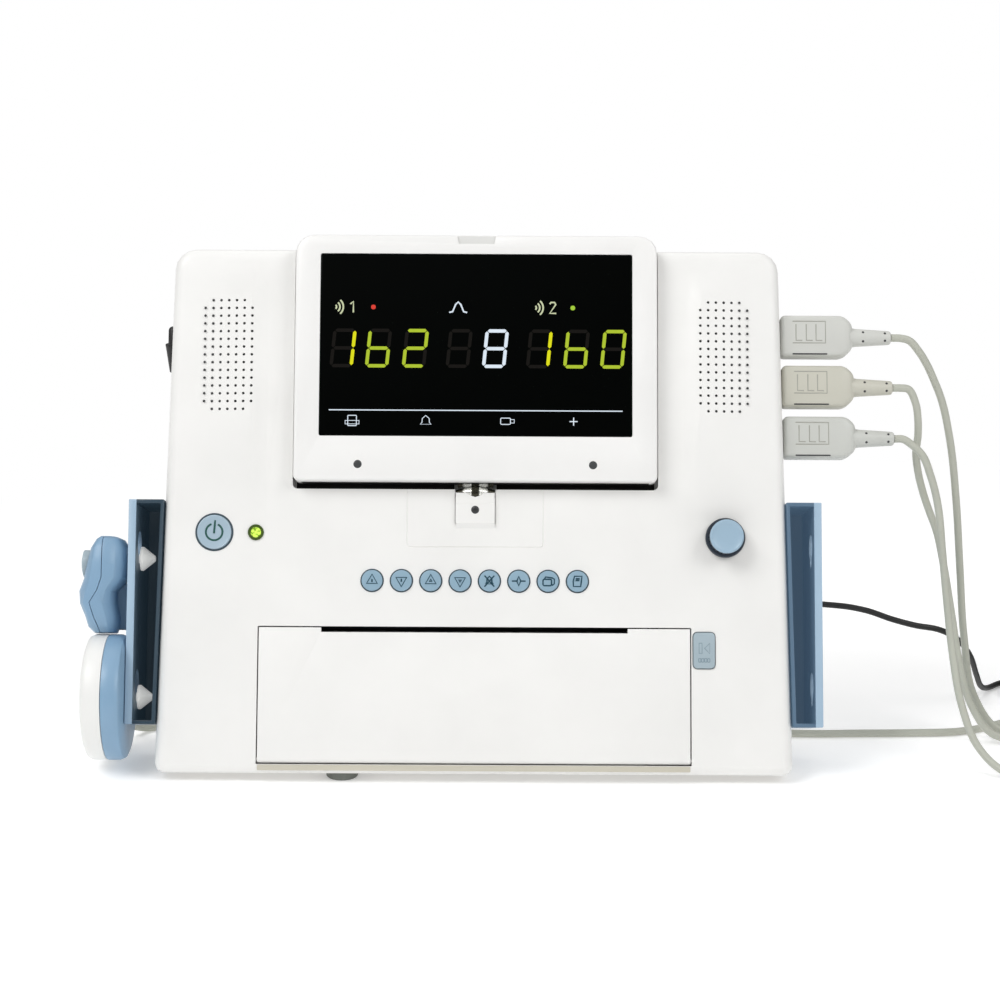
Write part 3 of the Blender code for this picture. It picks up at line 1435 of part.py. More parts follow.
def main_board(face):
    """The main circuit board on four standoffs behind the pocket."""
    top = -POCKET_DEPTH - WALL - GAP
    front = top - STANDOFF
    middle = MAIN_BOARD_LOW + MAIN_BOARD_HEIGHT / 2.0
    outline = rectangle(MAIN_BOARD_WIDTH, MAIN_BOARD_HEIGHT, 0.0, (0.0, middle))
    board = piece("main_board", slab(outline, front - BOARD_THICK, front), face, "circuit_green")
    posts = []
    across = MAIN_BOARD_WIDTH / 2.0 - STANDOFF_INSET
    up = MAIN_BOARD_HEIGHT / 2.0 - STANDOFF_INSET
    for u in (-across, across):
        for v in (middle - up, middle + up):
            post = turned([(STANDOFF_RADIUS, front - BOARD_THICK / 2.0), (STANDOFF_RADIUS, top)], 8)
            posts.append(moved(post, (u, v, 0.0)))
    add(board, joined(posts))
    chips = []
    for u in (-CHIP_SIZE, CHIP_SIZE):
        outline = rectangle(CHIP_SIZE, CHIP_SIZE, 0.0, (u, middle))
        chips.append(slab(outline, front - BOARD_THICK - CHIP_HEIGHT, front - BOARD_THICK / 2.0))
    add(board, joined(chips))
    return board


def battery_pack(face):
    """The battery on the inside of the back wall."""
    back = -SLAB_DEPTH + WALL + GAP
    half = BATTERY_WIDTH / 2.0
    low = (-half, BATTERY_LOW, back)
    shape = box(low, (half, BATTERY_LOW + BATTERY_HEIGHT, back + BATTERY_DEPTH))
    return piece("battery_pack", shape, face, "battery_blue")


def lead_sockets(face):
    """The block of the three lead sockets inside the right wall."""
    low, high = SOCKET_VS[-1] - SOCKET_BLOCK_HEIGHT / 2.0, SOCKET_VS[0] + SOCKET_BLOCK_HEIGHT / 2.0
    outer = half_width(high) - WALL - 2.0 * GAP
    depth = SOCKET_BLOCK_DEPTH / 2.0
    corner = (outer - SOCKET_LENGTH, low, SOCKET_W - depth)
    block = box(corner, (outer, high, SOCKET_W + depth))
    sockets = piece("lead_sockets", block, face, "dark_plastic")
    bores = []
    for v in SOCKET_VS:
        height, depth = NOSE_HEIGHT / 2.0 + GAP, NOSE_DEPTH / 2.0 + GAP
        corner = (half_width(v) - NOSE_LENGTH - GAP, v - height, SOCKET_W - depth)
        bores.append(box(corner, (outer + OVERRUN, v + height, SOCKET_W + depth)))
    cut(sockets, joined(bores))
    return sockets


def supply_socket(face):
    """The supply socket inside the left wall."""
    outer = half_width(SUPPLY_V + SUPPLY_BLOCK / 2.0) - WALL - 2.0 * GAP
    half = SUPPLY_BLOCK / 2.0
    low = (-outer, SUPPLY_V - half, SUPPLY_W - half)
    block = box(low, (-outer + SUPPLY_BLOCK, SUPPLY_V + half, SUPPLY_W + half))
    socket = piece("supply_socket", block, face, "dark_plastic")
    end = -half_width(SUPPLY_V) + SUPPLY_NOSE_LENGTH + GAP
    hole = along_x(turned([(SUPPLY_HOLE, -outer - OVERRUN), (SUPPLY_HOLE, end)], SMALL_ROUND))
    cut(socket, hole, (0.0, SUPPLY_V, SUPPLY_W))
    return socket


def round_section(height, depth, corner, u, v, w):
    """A ring across u: a rectangle with round corners."""
    outline = rectangle(height, depth, corner, (v, w), steps=2)
    return [Vector((u, p.x, p.y)) for p in outline]


def connector_shape(v):
    """One lead connector: nose, body, chamfer and round strain relief."""
    start = half_width(v - CONNECTOR_HEIGHT / 2.0) + CONNECTOR_GAP
    end = start + CONNECTOR_LENGTH
    shoulder = end + CHAMFER_LENGTH
    last = shoulder + RELIEF_LENGTH
    flat = RELIEF_START * 2.0
    rows = [
        (NOSE_HEIGHT, NOSE_DEPTH, GAP, half_width(v) - NOSE_LENGTH),
        (NOSE_HEIGHT, NOSE_DEPTH, GAP, start),
        (CONNECTOR_HEIGHT, CONNECTOR_DEPTH, CONNECTOR_CORNER, start),
        (CONNECTOR_HEIGHT, CONNECTOR_DEPTH, CONNECTOR_CORNER, end),
        (flat + CHAMFER_LENGTH, flat, CONNECTOR_CORNER, shoulder),
        (flat, flat, RELIEF_START * RELIEF_ROUND_SHARE, shoulder),
        (RELIEF_END * 2.0, RELIEF_END * 2.0, RELIEF_END * RELIEF_ROUND_SHARE, last),
    ]
    return loft([round_section(h, d, r, u, v, SOCKET_W) for h, d, r, u in rows])


def connector_end(v):
    """Where a lead leaves its connector, in the face frame."""
    start = half_width(v - CONNECTOR_HEIGHT / 2.0) + CONNECTOR_GAP
    return Vector((start + CONNECTOR_LENGTH + CHAMFER_LENGTH + RELIEF_LENGTH, v, SOCKET_W))


def supply_plug_frame():
    """The start and direction of the supply plug's strain relief, in the face frame."""
    outer = half_width(SUPPLY_V - PLUG_HEIGHT / 2.0) + CONNECTOR_GAP
    start = Vector((-outer - PLUG_THICK / 2.0, SUPPLY_V - PLUG_HEIGHT / 2.0, SUPPLY_W))
    return start, Vector((0.0, -math.cos(RELIEF_TURN), -math.sin(RELIEF_TURN)))


def supply_plug(face):
    """The right-angled supply plug with its strain relief, which points down and back."""
    start, way = supply_plug_frame()
    outer = half_width(SUPPLY_V - PLUG_HEIGHT / 2.0) + CONNECTOR_GAP
    outline = rectangle(PLUG_HEIGHT, PLUG_DEPTH, CONNECTOR_CORNER, (SUPPLY_V, SUPPLY_W))
    body = loft([[Vector((u, p.x, p.y)) for p in outline] for u in (-outer - PLUG_THICK, -outer)])
    plug = piece("supply_plug", body, face, "lead_black")
    tip = -half_width(SUPPLY_V) + SUPPLY_NOSE_LENGTH
    nose = [(SUPPLY_NOSE, -outer - PLUG_THICK / 2.0), (SUPPLY_NOSE, tip)]
    add(plug, along_x(turned(nose, SMALL_ROUND)), (0.0, SUPPLY_V, SUPPLY_W))
    profile = [(PLUG_RELIEF_START, -OVERRUN), (PLUG_RELIEF_START, 0.0), (PLUG_RELIEF_END, PLUG_RELIEF_LENGTH)]
    relief = turned(profile, SMALL_ROUND)
    turn = Vector((0.0, 0.0, 1.0)).rotation_difference(way).to_matrix().to_4x4()
    bmesh.ops.transform(relief, matrix=turn, verts=relief.verts)
    add(plug, relief, start)
    return plug


def trough(side, inner_gap, outer, low, high, back, front):
    """A block beside the casing, whose inner face follows the casing's tapered side."""
    rings = []
    for v in (low, high):
        inner = half_width(v) + inner_gap
        corners = [(inner, back), (outer, back), (outer, front), (inner, front)]
        rings.append([Vector((side * u, v, w)) for u, w in corners])
    return loft(rings)


def cradle(face, side, name):
    """A side trough with two keyhole slots in its outer wall."""
    outer = CRADLE_OUTER
    back, front = -CRADLE_DEPTH, -CRADLE_SET_BACK
    body = piece(
        name, trough(side, GAP, outer, CRADLE_LOW, CRADLE_HIGH, back, front), face, "cradle_blue"
    )
    hollow = trough(
        side,
        GAP + CRADLE_PLATE,
        outer - CRADLE_WALL,
        CRADLE_LOW + CRADLE_FLOOR,
        CRADLE_HIGH - CRADLE_FLOOR,
        back + CRADLE_FLOOR,
        front + OVERRUN,
    )
    bmesh.ops.recalc_face_normals(hollow, faces=hollow.faces)
    cut(body, hollow)
    a, b = sorted((side * (outer - CRADLE_WALL - OVERRUN), side * (outer + OVERRUN)))
    holes = [along_x(slab(keyhole(seat), a, b)) for seat in (SEAT_V_LOW, SEAT_V_HIGH)]
    cut(body, joined(holes))
    return body


def keyhole(seat):
    """A keyhole's outline in (v, w): a round entry above a narrow seat."""
    top = seat + SEAT_DROP
    spread = math.asin(KEYHOLE_NECK / KEYHOLE_RADIUS)
    points = []
    steps = 14
    for k in range(steps + 1):
        angle = math.pi + spread + (2.0 * math.pi - 2.0 * spread) * k / steps
        points.append((top + KEYHOLE_RADIUS * math.cos(angle), SEAT_W + KEYHOLE_RADIUS * math.sin(angle)))
    steps = 6
    for k in range(steps + 1):
        angle = math.pi / 2.0 + math.pi * k / steps
        points.append((seat + KEYHOLE_NECK * math.cos(angle), SEAT_W + KEYHOLE_NECK * math.sin(angle)))
    return points


def belt_knob_shape():
    """A belt knob along +X from the cradle's outer face at x = 0: neck, collar and cone."""
    neck = CRADLE_WALL + KNOB_WALL_GAP
    start = neck + KNOB_WALL_GAP
    profile = [
        (BELT_NECK_RADIUS, -OVERRUN),
        (BELT_NECK_RADIUS, start),
        (BELT_KNOB_RADIUS, start),
        (BELT_KNOB_RADIUS, start + BELT_KNOB_TIP),
        (BELT_KNOB_TIP, start + BELT_KNOB_LENGTH),
    ]
    return along_x(turned(profile))


def probe_shell_shape():
    """A probe's back shell: a shallow round dish along -X from its flat back."""
    fillet = PROBE_FILLET
    profile = [
        (PROBE_RADIUS, -PROBE_SHELL_THICK),
        (PROBE_RADIUS, -fillet),
        (PROBE_RADIUS - fillet * ARC_SHARE, -fillet * ARC_SHARE),
        (PROBE_RADIUS - fillet, 0.0),
    ]
    return turned(profile, PROBE_ROUND)


def probe_face_shape(thick):
    """A probe's contact face, slightly domed."""
    fillet = PROBE_FILLET
    profile = [
        (PROBE_RADIUS - fillet * FACE_FLAT_SHARE, -thick),
        (PROBE_RADIUS - fillet * FACE_EDGE_SHARE, -thick + fillet * FACE_LOW_SHARE),
        (PROBE_RADIUS, -thick + fillet * FACE_HIGH_SHARE),
        (PROBE_RADIUS, 0.0),
    ]
    return turned(profile, PROBE_ROUND)


def hanging_probe(hanger):
    """The probe that hangs in the left cradle, in the frame of its seat on the cradle's outer face."""
    start = -KNOB_WALL_GAP
    shell = piece("probe_shell", along_x(probe_shell_shape(), (start, 0.0, 0.0)), hanger, "probe_blue")
    add(shell, belt_knob_shape())
    add(shell, gland_shape(gland_way()), gland_start())
    back = start - PROBE_SHELL_THICK - PROBE_SEAM
    front = piece(
        "probe_face", along_x(probe_face_shape(PROBE_FACE_THICK), (back, 0.0, 0.0)), hanger, "probe_white"
    )
    return [shell, front]


def gland_way():
    """The direction in which the hanging probe's lead leaves it, in the face frame."""
    return Vector((0.0, math.cos(GLAND_TURN), math.sin(GLAND_TURN)))


def gland_start():
    """The root of the hanging probe's gland, from its seat."""
    middle = Vector((-KNOB_WALL_GAP - PROBE_SHELL_THICK / 2.0, 0.0, 0.0))
    return middle + gland_way() * (PROBE_RADIUS - OVERRUN)


def gland_shape(way):
    """The tapered gland of a probe's lead, along its way out."""
    profile = [(GLAND_RADIUS, 0.0), (GLAND_RADIUS * GLAND_TIP_SHARE, GLAND_LENGTH + OVERRUN)]
    shape = turned(profile, SMALL_ROUND)
    turn = Vector((0.0, 0.0, 1.0)).rotation_difference(way).to_matrix().to_4x4()
    bmesh.ops.transform(shape, matrix=turn, verts=shape.verts)
    return shape


def marker_half(side):
    """Half of the event marker's bent grip: sections along v, as half ellipses on one side of its seam."""
    rows = []
    steps = 8
    for place, shift, behind, before, deep_share in MARKER_SECTIONS:
        v = MARKER_LOW + (MARKER_HIGH - MARKER_LOW) * place - SEAT_V_HIGH
        reach = behind if side > 0.0 else before
        row = []
        for k in range(steps + 1):
            angle = -math.pi / 2.0 + math.pi * k / steps
            bulge = math.cos(angle) ** MARKER_BULGE_POWER if 0 < k < steps else 0.0
            deep = MARKER_HALF_DEPTH * deep_share * math.sin(angle)
            row.append(Vector((side * reach * bulge - shift, v, deep)))
        rows.append(row)
    return loft(rows)


def marker_spine():
    """The flat rib behind the marker's grip, from its seam plane to just short of the cradle's wall."""
    low, high = MARKER_SPINE_LOW - SEAT_V_HIGH, MARKER_SPINE_HIGH - SEAT_V_HIGH
    wide = MARKER_REAR_THICK
    outline = rectangle(wide, high - low, MARKER_SPINE_CORNER, (wide / 2.0, (low + high) / 2.0))
    return slab(outline, MARKER_SPINE_BACK, MARKER_SPINE_BACK + MARKER_SPINE_THICK)


def marker_seam():
    """The marker's seam plane, from its seat on the cradle's outer face."""
    return -KNOB_WALL_GAP - MARKER_REAR_THICK


def event_marker(hanger, button_parent):
    """The event marker: rear shell with its belt knob, front shell and push button."""
    rear_at = (marker_seam(), 0.0, 0.0)
    rear = piece("marker_rear", marker_half(1.0), hanger, "probe_blue", rear_at)
    add(rear, marker_spine(), rear_at)
    add(rear, belt_knob_shape())
    front_at = (marker_seam() - PROBE_SEAM, 0.0, 0.0)
    front = piece("marker_front", marker_half(-1.0), hanger, "probe_blue", front_at)
    hole = MARKER_BUTTON_RADIUS + RUNNING
    outward = -MARKER_FRONT_THICK - OVERRUN
    floor = -MARKER_BUTTON_FACE + MARKER_BUTTON_SINK
    bore = along_x(turned([(hole, outward), (hole, floor)]))
    place = (marker_seam() - PROBE_SEAM, MARKER_BUTTON_V - SEAT_V_HIGH, 0.0)
    cut(front, bore, place)
    rise = -MARKER_BUTTON_FACE - MARKER_BUTTON_RISE
    inner = floor - MARKER_BUTTON_TRAVEL - GAP
    profile = [
        (MARKER_BUTTON_RADIUS * MARKER_TOP_SHARE, rise),
        (MARKER_BUTTON_RADIUS, rise + MARKER_BUTTON_RISE / 3.0),
        (MARKER_BUTTON_RADIUS, inner),
    ]
    button = piece("marker_button", along_x(turned(profile)), button_parent, "button_grey")
    return [rear, front, button]


def spare_height():
    """The height at which a lead enters a probe that lies on the table."""
    return PROBE_FACE_THICK + PROBE_SEAM + PROBE_SHELL_THICK / 2.0


def spare_way():
    """The direction in which the spare probes' leads leave them."""
    return Vector((-math.cos(SPARE_TURN), -math.sin(SPARE_TURN), 0.0))


def spare_probe(stand, name, place):
    """A probe that lies face down on the table: face and shell in one, with its belt knob and gland."""
    low, top = PROBE_FACE_THICK, PROBE_FACE_THICK + PROBE_SEAM + PROBE_SHELL_THICK
    fillet = PROBE_FILLET
    soft = fillet * ARC_SHARE
    profile = [
        (PROBE_RADIUS - fillet * FACE_FLAT_SHARE, 0.0),
        (PROBE_RADIUS - fillet * FACE_EDGE_SHARE, fillet * FACE_LOW_SHARE),
        (PROBE_RADIUS, fillet * FACE_HIGH_SHARE),
        (PROBE_RADIUS, low),
        (PROBE_RADIUS - SEAM_DEPTH, low),
        (PROBE_RADIUS - SEAM_DEPTH, low + PROBE_SEAM),
        (PROBE_RADIUS, low + PROBE_SEAM),
        (PROBE_RADIUS, top - fillet),
        (PROBE_RADIUS - soft, top - soft),
        (PROBE_RADIUS - fillet, top),
    ]
    at = (*place, 0.0)
    probe = piece(name, turned(profile, PROBE_ROUND), stand, "probe_blue", at)
    start = CRADLE_WALL + KNOB_WALL_GAP
    knob_profile = [
        (BELT_NECK_RADIUS, top - OVERRUN),
        (BELT_NECK_RADIUS, top + start),
        (BELT_KNOB_RADIUS, top + start),
        (BELT_KNOB_RADIUS, top + start + BELT_KNOB_TIP),
        (BELT_KNOB_TIP, top + start + BELT_KNOB_LENGTH),
    ]
    add(probe, turned(knob_profile), at)
    root = Vector((*place, spare_height())) + spare_way() * (PROBE_RADIUS - OVERRUN)
    add(probe, gland_shape(spare_way()), root)
    return probe


def smooth_route(points, step, first_way, last_way):
    """Points about a step apart on a smooth curve through a route's points, with its end directions."""
    spans = [(b - a).length for a, b in zip(points, points[1:])]
    ways = [(b - a) / span for a, b, span in zip(points, points[1:], spans)]
    slopes = [first_way]
    for i in range(1, len(spans)):
        mixed = ways[i - 1] * spans[i] + ways[i] * spans[i - 1]
        slopes.append(mixed / (spans[i - 1] + spans[i]))
    slopes.append(last_way)
    fine, pieces = [points[0]], 16
    for i, span in enumerate(spans):
        for k in range(1, pieces + 1):
            s = k / pieces
            there = s * s * (3.0 - 2.0 * s)
            spot = points[i].lerp(points[i + 1], there)
            spot += slopes[i] * span * s * (1.0 - s) ** 2
            spot -= slopes[i + 1] * span * s * s * (1.0 - s)
            fine.append(spot)
    lengths = [0.0]
    for a, b in zip(fine, fine[1:]):
        lengths.append(lengths[-1] + (b - a).length)
    count = max(2, math.ceil(lengths[-1] / step))
    even, i = [], 0
    for k in range(count + 1):
        at = lengths[-1] * k / count
        while i < len(fine) - 2 and lengths[i + 1] < at:
            i += 1
        even.append(fine[i].lerp(fine[i + 1], (at - lengths[i]) / (lengths[i + 1] - lengths[i])))
    return even


def tube(name, points, diameter, sides, parent, look):
    """A lead's stretch or coil: a round tube with flat ends along its points."""
    line = bpy.data.curves.new(name, "CURVE")
    line.dimensions = "3D"
    line.bevel_depth = diameter / 2.0
    line.bevel_resolution = sides // 2 - 2
    line.use_fill_caps = True
    spline = line.splines.new("POLY")
    spline.points.add(len(points) - 1)
    for spot, point in zip(spline.points, points):
        spot.co = (*point, 1.0)
    own = finish(look).copy()
    own.name = name
    line.materials.append(own)
    made = bpy.data.objects.new(name, line)
    made.parent = parent
    bpy.context.scene.collection.objects.link(made)
    return made


def coil_line(centre, diameter, turns, start_angle, hand):
    """A flat coil in two layers: inwards on the table, up where the spiral turns, and out again."""
    pitch = diameter + COIL_PITCH_GAP
    outer = diameter * COIL_ACROSS_SHARE / 2.0 + pitch * turns / 4.0
    count = round(turns * LOOP_POINTS)
    half, climb_turns = turns / 2.0, COIL_CLIMB_TURNS
    points = []
    for k in range(count + 1):
        turn = turns * k / count
        radius = outer - pitch * min(turn, turns - turn)
        climb = smoothstep(turn, half - climb_turns, half + climb_turns)
        angle = start_angle + hand * 2.0 * math.pi * turn
        x, y = centre[0] + radius * math.cos(angle), centre[1] + radius * math.sin(angle)
        points.append(Vector((x, y, diameter / 2.0 + pitch * climb)))
    reach = diameter * COIL_END_SHARE
    first, last = coil_way(start_angle, 0.0, hand), coil_way(start_angle, turns, hand)
    return [points[0] - first * reach, *points, points[-1] + last * reach]


def coil_way(start_angle, turn, hand):
    """A coil's direction of travel after some turns."""
    angle = start_angle + hand * 2.0 * math.pi * turn
    return Vector((-math.sin(angle), math.cos(angle), 0.0)) * hand


def with_tail(line, tail, end, way, diameter):
    """A coil's line, led on from its last point to a gland at its end."""
    start = line[-2]
    route = [line[-1]] + [Vector((start.x + x, start.y + y, z)) for x, y, z in tail]
    last = end - way * GAP
    route.append(last - way * diameter)
    out = (line[-1] - start).normalized()
    return line[:-1] + smooth_route(route, diameter * TAIL_STEP_SHARE, out, way) + [last]


def least_gap(points, diameter):
    """The least gap of a coil to itself, measured on its points and the middles between them."""
    spots = []
    for a, b in zip(points, points[1:]):
        spots += [a, a.lerp(b, 0.5)]
    apart = LOOP_POINTS
    least = math.inf
    for i, here in enumerate(spots):
        for there in spots[i + apart :]:
            least = min(least, (here - there).length)
    return least - diameter


def length_of(points):
    """The length of a line of points."""
    return sum((b - a).length for a, b in zip(points, points[1:]))


def lead_stretch(name, ends, ways, route, diameter, stand, look):
    """A free stretch of a lead, straight for one diameter at both of its ends."""
    first, last = ends[0] + ways[0] * GAP, ends[1] - ways[1] * GAP
    points = [first + ways[0] * diameter, *[Vector(p) for p in route], last - ways[1] * diameter]
    line = [first, *smooth_route(points, diameter * TUBE_STEP_SHARE, *ways), last]
    print(f"{name} length {length_of(line):.4f}, points {len(line)}")
    return tube(name, line, diameter, 8, stand, look)


def lead_coil(name, line, diameter, stand, look):
    """A lead's coil, with its length and its least gap to itself printed."""
    print(f"{name} length {length_of(line):.4f}, points {len(line)}, gap {least_gap(line, diameter):.5f}")
    return tube(name, line, diameter, 6, stand, look)


def in_stand(point):
    """A face-frame point, in the stand frame."""
    y, z = face_to_stand(point.y, point.z)
    return Vector((point.x, y, z))


def way_in_stand(way):
    """A face-frame direction, in the stand frame."""
    return Vector(
        (
            way.x,
            way.y * math.sin(LEAN) - way.z * math.cos(LEAN),
            way.y * math.cos(LEAN) + way.z * math.sin(LEAN),
        )
    )


def probe_leads(stand):
    """The three grey leads from their connectors to their coils and on to the probes."""
    right = Vector((1.0, 0.0, 0.0))
    size, look = LEAD_DIAMETER, "lead_grey"
    up, down = math.pi / 2.0, -math.pi / 2.0
    line_a = coil_line(COIL_A, size, COIL_TURNS_A, down, 1.0)
    glands = [
        Vector((x, y, spare_height())) + spare_way() * (PROBE_RADIUS + GLAND_LENGTH)
        for x, y in SPARE_PLACES
    ]
    line_b = coil_line(COIL_B, size, COIL_TURNS, up, -1.0)
    line_b = with_tail(line_b, TAIL_PROBE, glands[0], -spare_way(), size)
    line_c = coil_line(COIL_C, size, COIL_TURNS, down, 1.0)
    line_c = with_tail(line_c, TAIL_PROBE, glands[1], -spare_way(), size)
    plans = (
        ("lead_a", SOCKET_VS[0], ROUTE_A, line_a),
        ("lead_b", SOCKET_VS[1], ROUTE_B, line_b),
        ("lead_c", SOCKET_VS[2], ROUTE_C, line_c),
    )
    for name, v, route, line in plans:
        ends = (in_stand(connector_end(v)), line[0])
        lead_stretch(f"{name}_out", ends, (right, right), route, size, stand, look)
        lead_coil(f"{name}_coil", line, size, stand, look)
    seat = Vector((-CRADLE_OUTER, SEAT_V_LOW, SEAT_W))
    gland = in_stand(seat + gland_start() + gland_way() * (GLAND_LENGTH + OVERRUN))
    ways = (coil_way(down, COIL_TURNS_A, 1.0), -way_in_stand(gland_way()))
    lead_stretch("lead_a_back", (line_a[-1], gland), ways, ROUTE_A_BACK, size, stand, look)


def supply_lead(stand):
    """The black lead from its plug over the bin's top to its coil and on to the plug-top supply."""
    right = Vector((1.0, 0.0, 0.0))
    start, way = supply_plug_frame()
    start, way = in_stand(start + way * PLUG_RELIEF_LENGTH), way_in_stand(way)
    line = coil_line(COIL_D, SUPPLY_DIAMETER, COIL_TURNS, math.pi / 2.0, -1.0)
    gland = Vector((*ADAPTER_END, ADAPTER_HEIGHT / 2.0))
    line = with_tail(line, TAIL_SUPPLY, gland, right, SUPPLY_DIAMETER)
    ends, look = (start, line[0]), "lead_black"
    lead_stretch("supply_lead_out", ends, (way, right), ROUTE_SUPPLY, SUPPLY_DIAMETER, stand, look)
    lead_coil("supply_lead_coil", line, SUPPLY_DIAMETER, stand, look)


def supply_adapter(stand):
    """The plug-top supply on the table, its gland towards its coil and its pins away from it."""
    x, y = ADAPTER_END
    height = ADAPTER_HEIGHT / 2.0
    outline = rectangle(ADAPTER_WIDTH, ADAPTER_HEIGHT, ADAPTER_CORNER, (y, height))
    near = x + ADAPTER_GLAND_LENGTH
    far = near + ADAPTER_LENGTH
    adapter = piece("supply_adapter", along_x(slab(outline, near, far)), stand, "lead_black")
    tip = ADAPTER_GLAND_RADIUS * GLAND_TIP_SHARE
    extras = [along_x(turned([(tip, x), (ADAPTER_GLAND_RADIUS, near + OVERRUN)], SMALL_ROUND), (0.0, y, height))]
    for side in (-1.0, 1.0):
        profile = [(ADAPTER_PIN_RADIUS, far - OVERRUN), (ADAPTER_PIN_RADIUS, far + ADAPTER_PIN_LENGTH)]
        place = (0.0, y + side * ADAPTER_PIN_SPACING / 2.0, height)
        extras.append(along_x(turned(profile, SMALL_ROUND), place))
    add(adapter, joined(extras))
    return adapter


def centre_on_origin(stand):
    """Move the stand so that the box of everything but the leads is centred over the origin."""
    bpy.context.view_layer.update()
    graph = bpy.context.evaluated_depsgraph_get()
    spots = []
    for node in bpy.data.objects:
        if node.type != "MESH" or node.hide_render or node.name in CORD_PIECES:
            continue
        shown = node.evaluated_get(graph)
        mesh = shown.to_mesh()
        spots += [shown.matrix_world @ vert.co for vert in mesh.vertices]
        shown.to_mesh_clear()
    for axis in (0, 1):
        values = [spot[axis] for spot in spots]
        stand.location[axis] = -(min(values) + max(values)) / 2.0


def build():
    """The whole object."""
    for old in list(bpy.data.objects):
        bpy.data.objects.remove(old)
    stand = empty("stand")
    face = empty("face", stand, (0.0, 0.0, FOOT_HEIGHT), (math.pi / 2.0 - LEAN, 0.0, 0.0))
    front_housing(face)
    rear_housing(stand, face)
    base_plate(stand)
    front_foot(stand)
    tilt = empty("display_tilt_axis", face, (0.0, HINGE_V, HINGE_W))
    display_bezel(tilt)
    display_back(tilt)
    display_window(tilt)
    lcd_panel(tilt)
    hinge_barrel(tilt)
    hinge_pin(face)
    keys(face)
    power_button(face)
    power_light(face)
    button_board(face)
    knob(face)
    encoder(face)
    paper_door(empty("door_axis", face, (0.0, *door_axis())))
    door_release(face)
    paper_tray(stand)
    paper_stack(stand)
    printer_frame(face)
    platen_roller(face)
    motor_pinion(face)
    print_head(face)
    speaker(face, -1.0, "speaker_left")
    speaker(face, 1.0, "speaker_right")
    main_board(face)
    battery_pack(face)
    lead_sockets(face)
    supply_socket(face)
    for letter, v in zip("abc", SOCKET_VS):
        piece(f"connector_{letter}", connector_shape(v), face, "connector_grey")
    supply_plug(face)
    cradle(face, -1.0, "cradle_left")
    cradle(face, 1.0, "cradle_right")
    hanging_probe(empty("probe_seat", face, (-CRADLE_OUTER, SEAT_V_LOW, SEAT_W)))
    hanger = empty("marker_seat", face, (-CRADLE_OUTER, SEAT_V_HIGH, SEAT_W))
    at = (marker_seam() - PROBE_SEAM, MARKER_BUTTON_V - SEAT_V_HIGH, 0.0)
    event_marker(hanger, empty("marker_button_axis", hanger, at))
    for number, place in enumerate(SPARE_PLACES):
        spare_probe(stand, f"spare_probe_{number + 1}", place)
    probe_leads(stand)
    supply_lead(stand)
    supply_adapter(stand)
    centre_on_origin(stand)


build()
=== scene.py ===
import math

import bpy
from mathutils import Matrix, Vector


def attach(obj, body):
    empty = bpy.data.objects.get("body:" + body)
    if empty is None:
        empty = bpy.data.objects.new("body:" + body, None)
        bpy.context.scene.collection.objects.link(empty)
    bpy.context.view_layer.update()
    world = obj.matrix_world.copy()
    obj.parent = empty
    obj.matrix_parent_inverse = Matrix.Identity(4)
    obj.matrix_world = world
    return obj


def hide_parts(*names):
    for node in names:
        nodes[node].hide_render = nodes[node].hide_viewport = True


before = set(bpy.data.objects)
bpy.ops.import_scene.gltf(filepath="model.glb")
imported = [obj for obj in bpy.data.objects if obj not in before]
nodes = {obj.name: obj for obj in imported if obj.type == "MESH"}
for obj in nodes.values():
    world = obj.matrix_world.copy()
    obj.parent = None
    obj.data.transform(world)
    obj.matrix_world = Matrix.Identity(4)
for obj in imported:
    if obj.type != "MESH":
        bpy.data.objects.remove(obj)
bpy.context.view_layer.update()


# The console's own frames: on the table, and on its leaning face
STAND = Vector((-0.15045, -0.06043, 0.0))
LEAN = math.radians(18.0)
FOOT_HEIGHT = 0.0045
FRONT_EDGE = STAND + Vector((0.0, 0.0, FOOT_HEIGHT))
FACE = Matrix.Translation(FRONT_EDGE) @ Matrix.Rotation(math.pi / 2.0 - LEAN, 4, "X")
FACE_HEIGHT = 0.2480
HALF_WIDTH_LOW = 0.1485
HALF_WIDTH_HIGH = 0.1430
GAP = 0.0003

# Camera
CAMERA_PLACE = Vector((-0.13885, -1.10973, 0.3581))
CAMERA_DOWN = math.radians(12.0)
CAMERA_ROLL = math.radians(0.3)
CAMERA_LENS = 85.5

# Leads, in the stand frame, as the CAD source has them
LEAD_DIAMETER = 0.0037
SUPPLY_DIAMETER = 0.0030
COIL_LOOP_POINTS = 15
COIL_ACROSS_SHARE = 11.0
COIL_PITCH_GAP = 0.0006
COIL_CLIMB_TURNS = 0.25
COIL_END_SHARE = 1.2
COIL_TURNS = 7.0
COIL_TURNS_A = 7.0 + 217.0 / 360.0
COIL_A = (0.3120, 0.0951)
COIL_B = (0.3120, 0.0345)
COIL_C = (0.3760, 0.0285)
COIL_D = (0.3000, 0.1495)
START_A = (0.1976, 0.0768, 0.1988)
START_B = (0.1981, 0.0693, 0.1759)
START_C = (0.1987, 0.0618, 0.1526)
START_SUPPLY = (-0.1472, 0.0984, 0.1771)
WAY_SUPPLY = (0.0, 0.1045, -0.9945)
END_A = (-0.16705, 0.0592, 0.0116)
WAY_END_A = (0.0, -0.8387, 0.5446)
END_B = (0.3622, 0.0697, 0.0144)
END_C = (0.4262, 0.0079, 0.0144)
WAY_SPARE = (0.7660, 0.6428, 0.0)
END_SUPPLY = (0.3430, 0.1620, 0.0130)
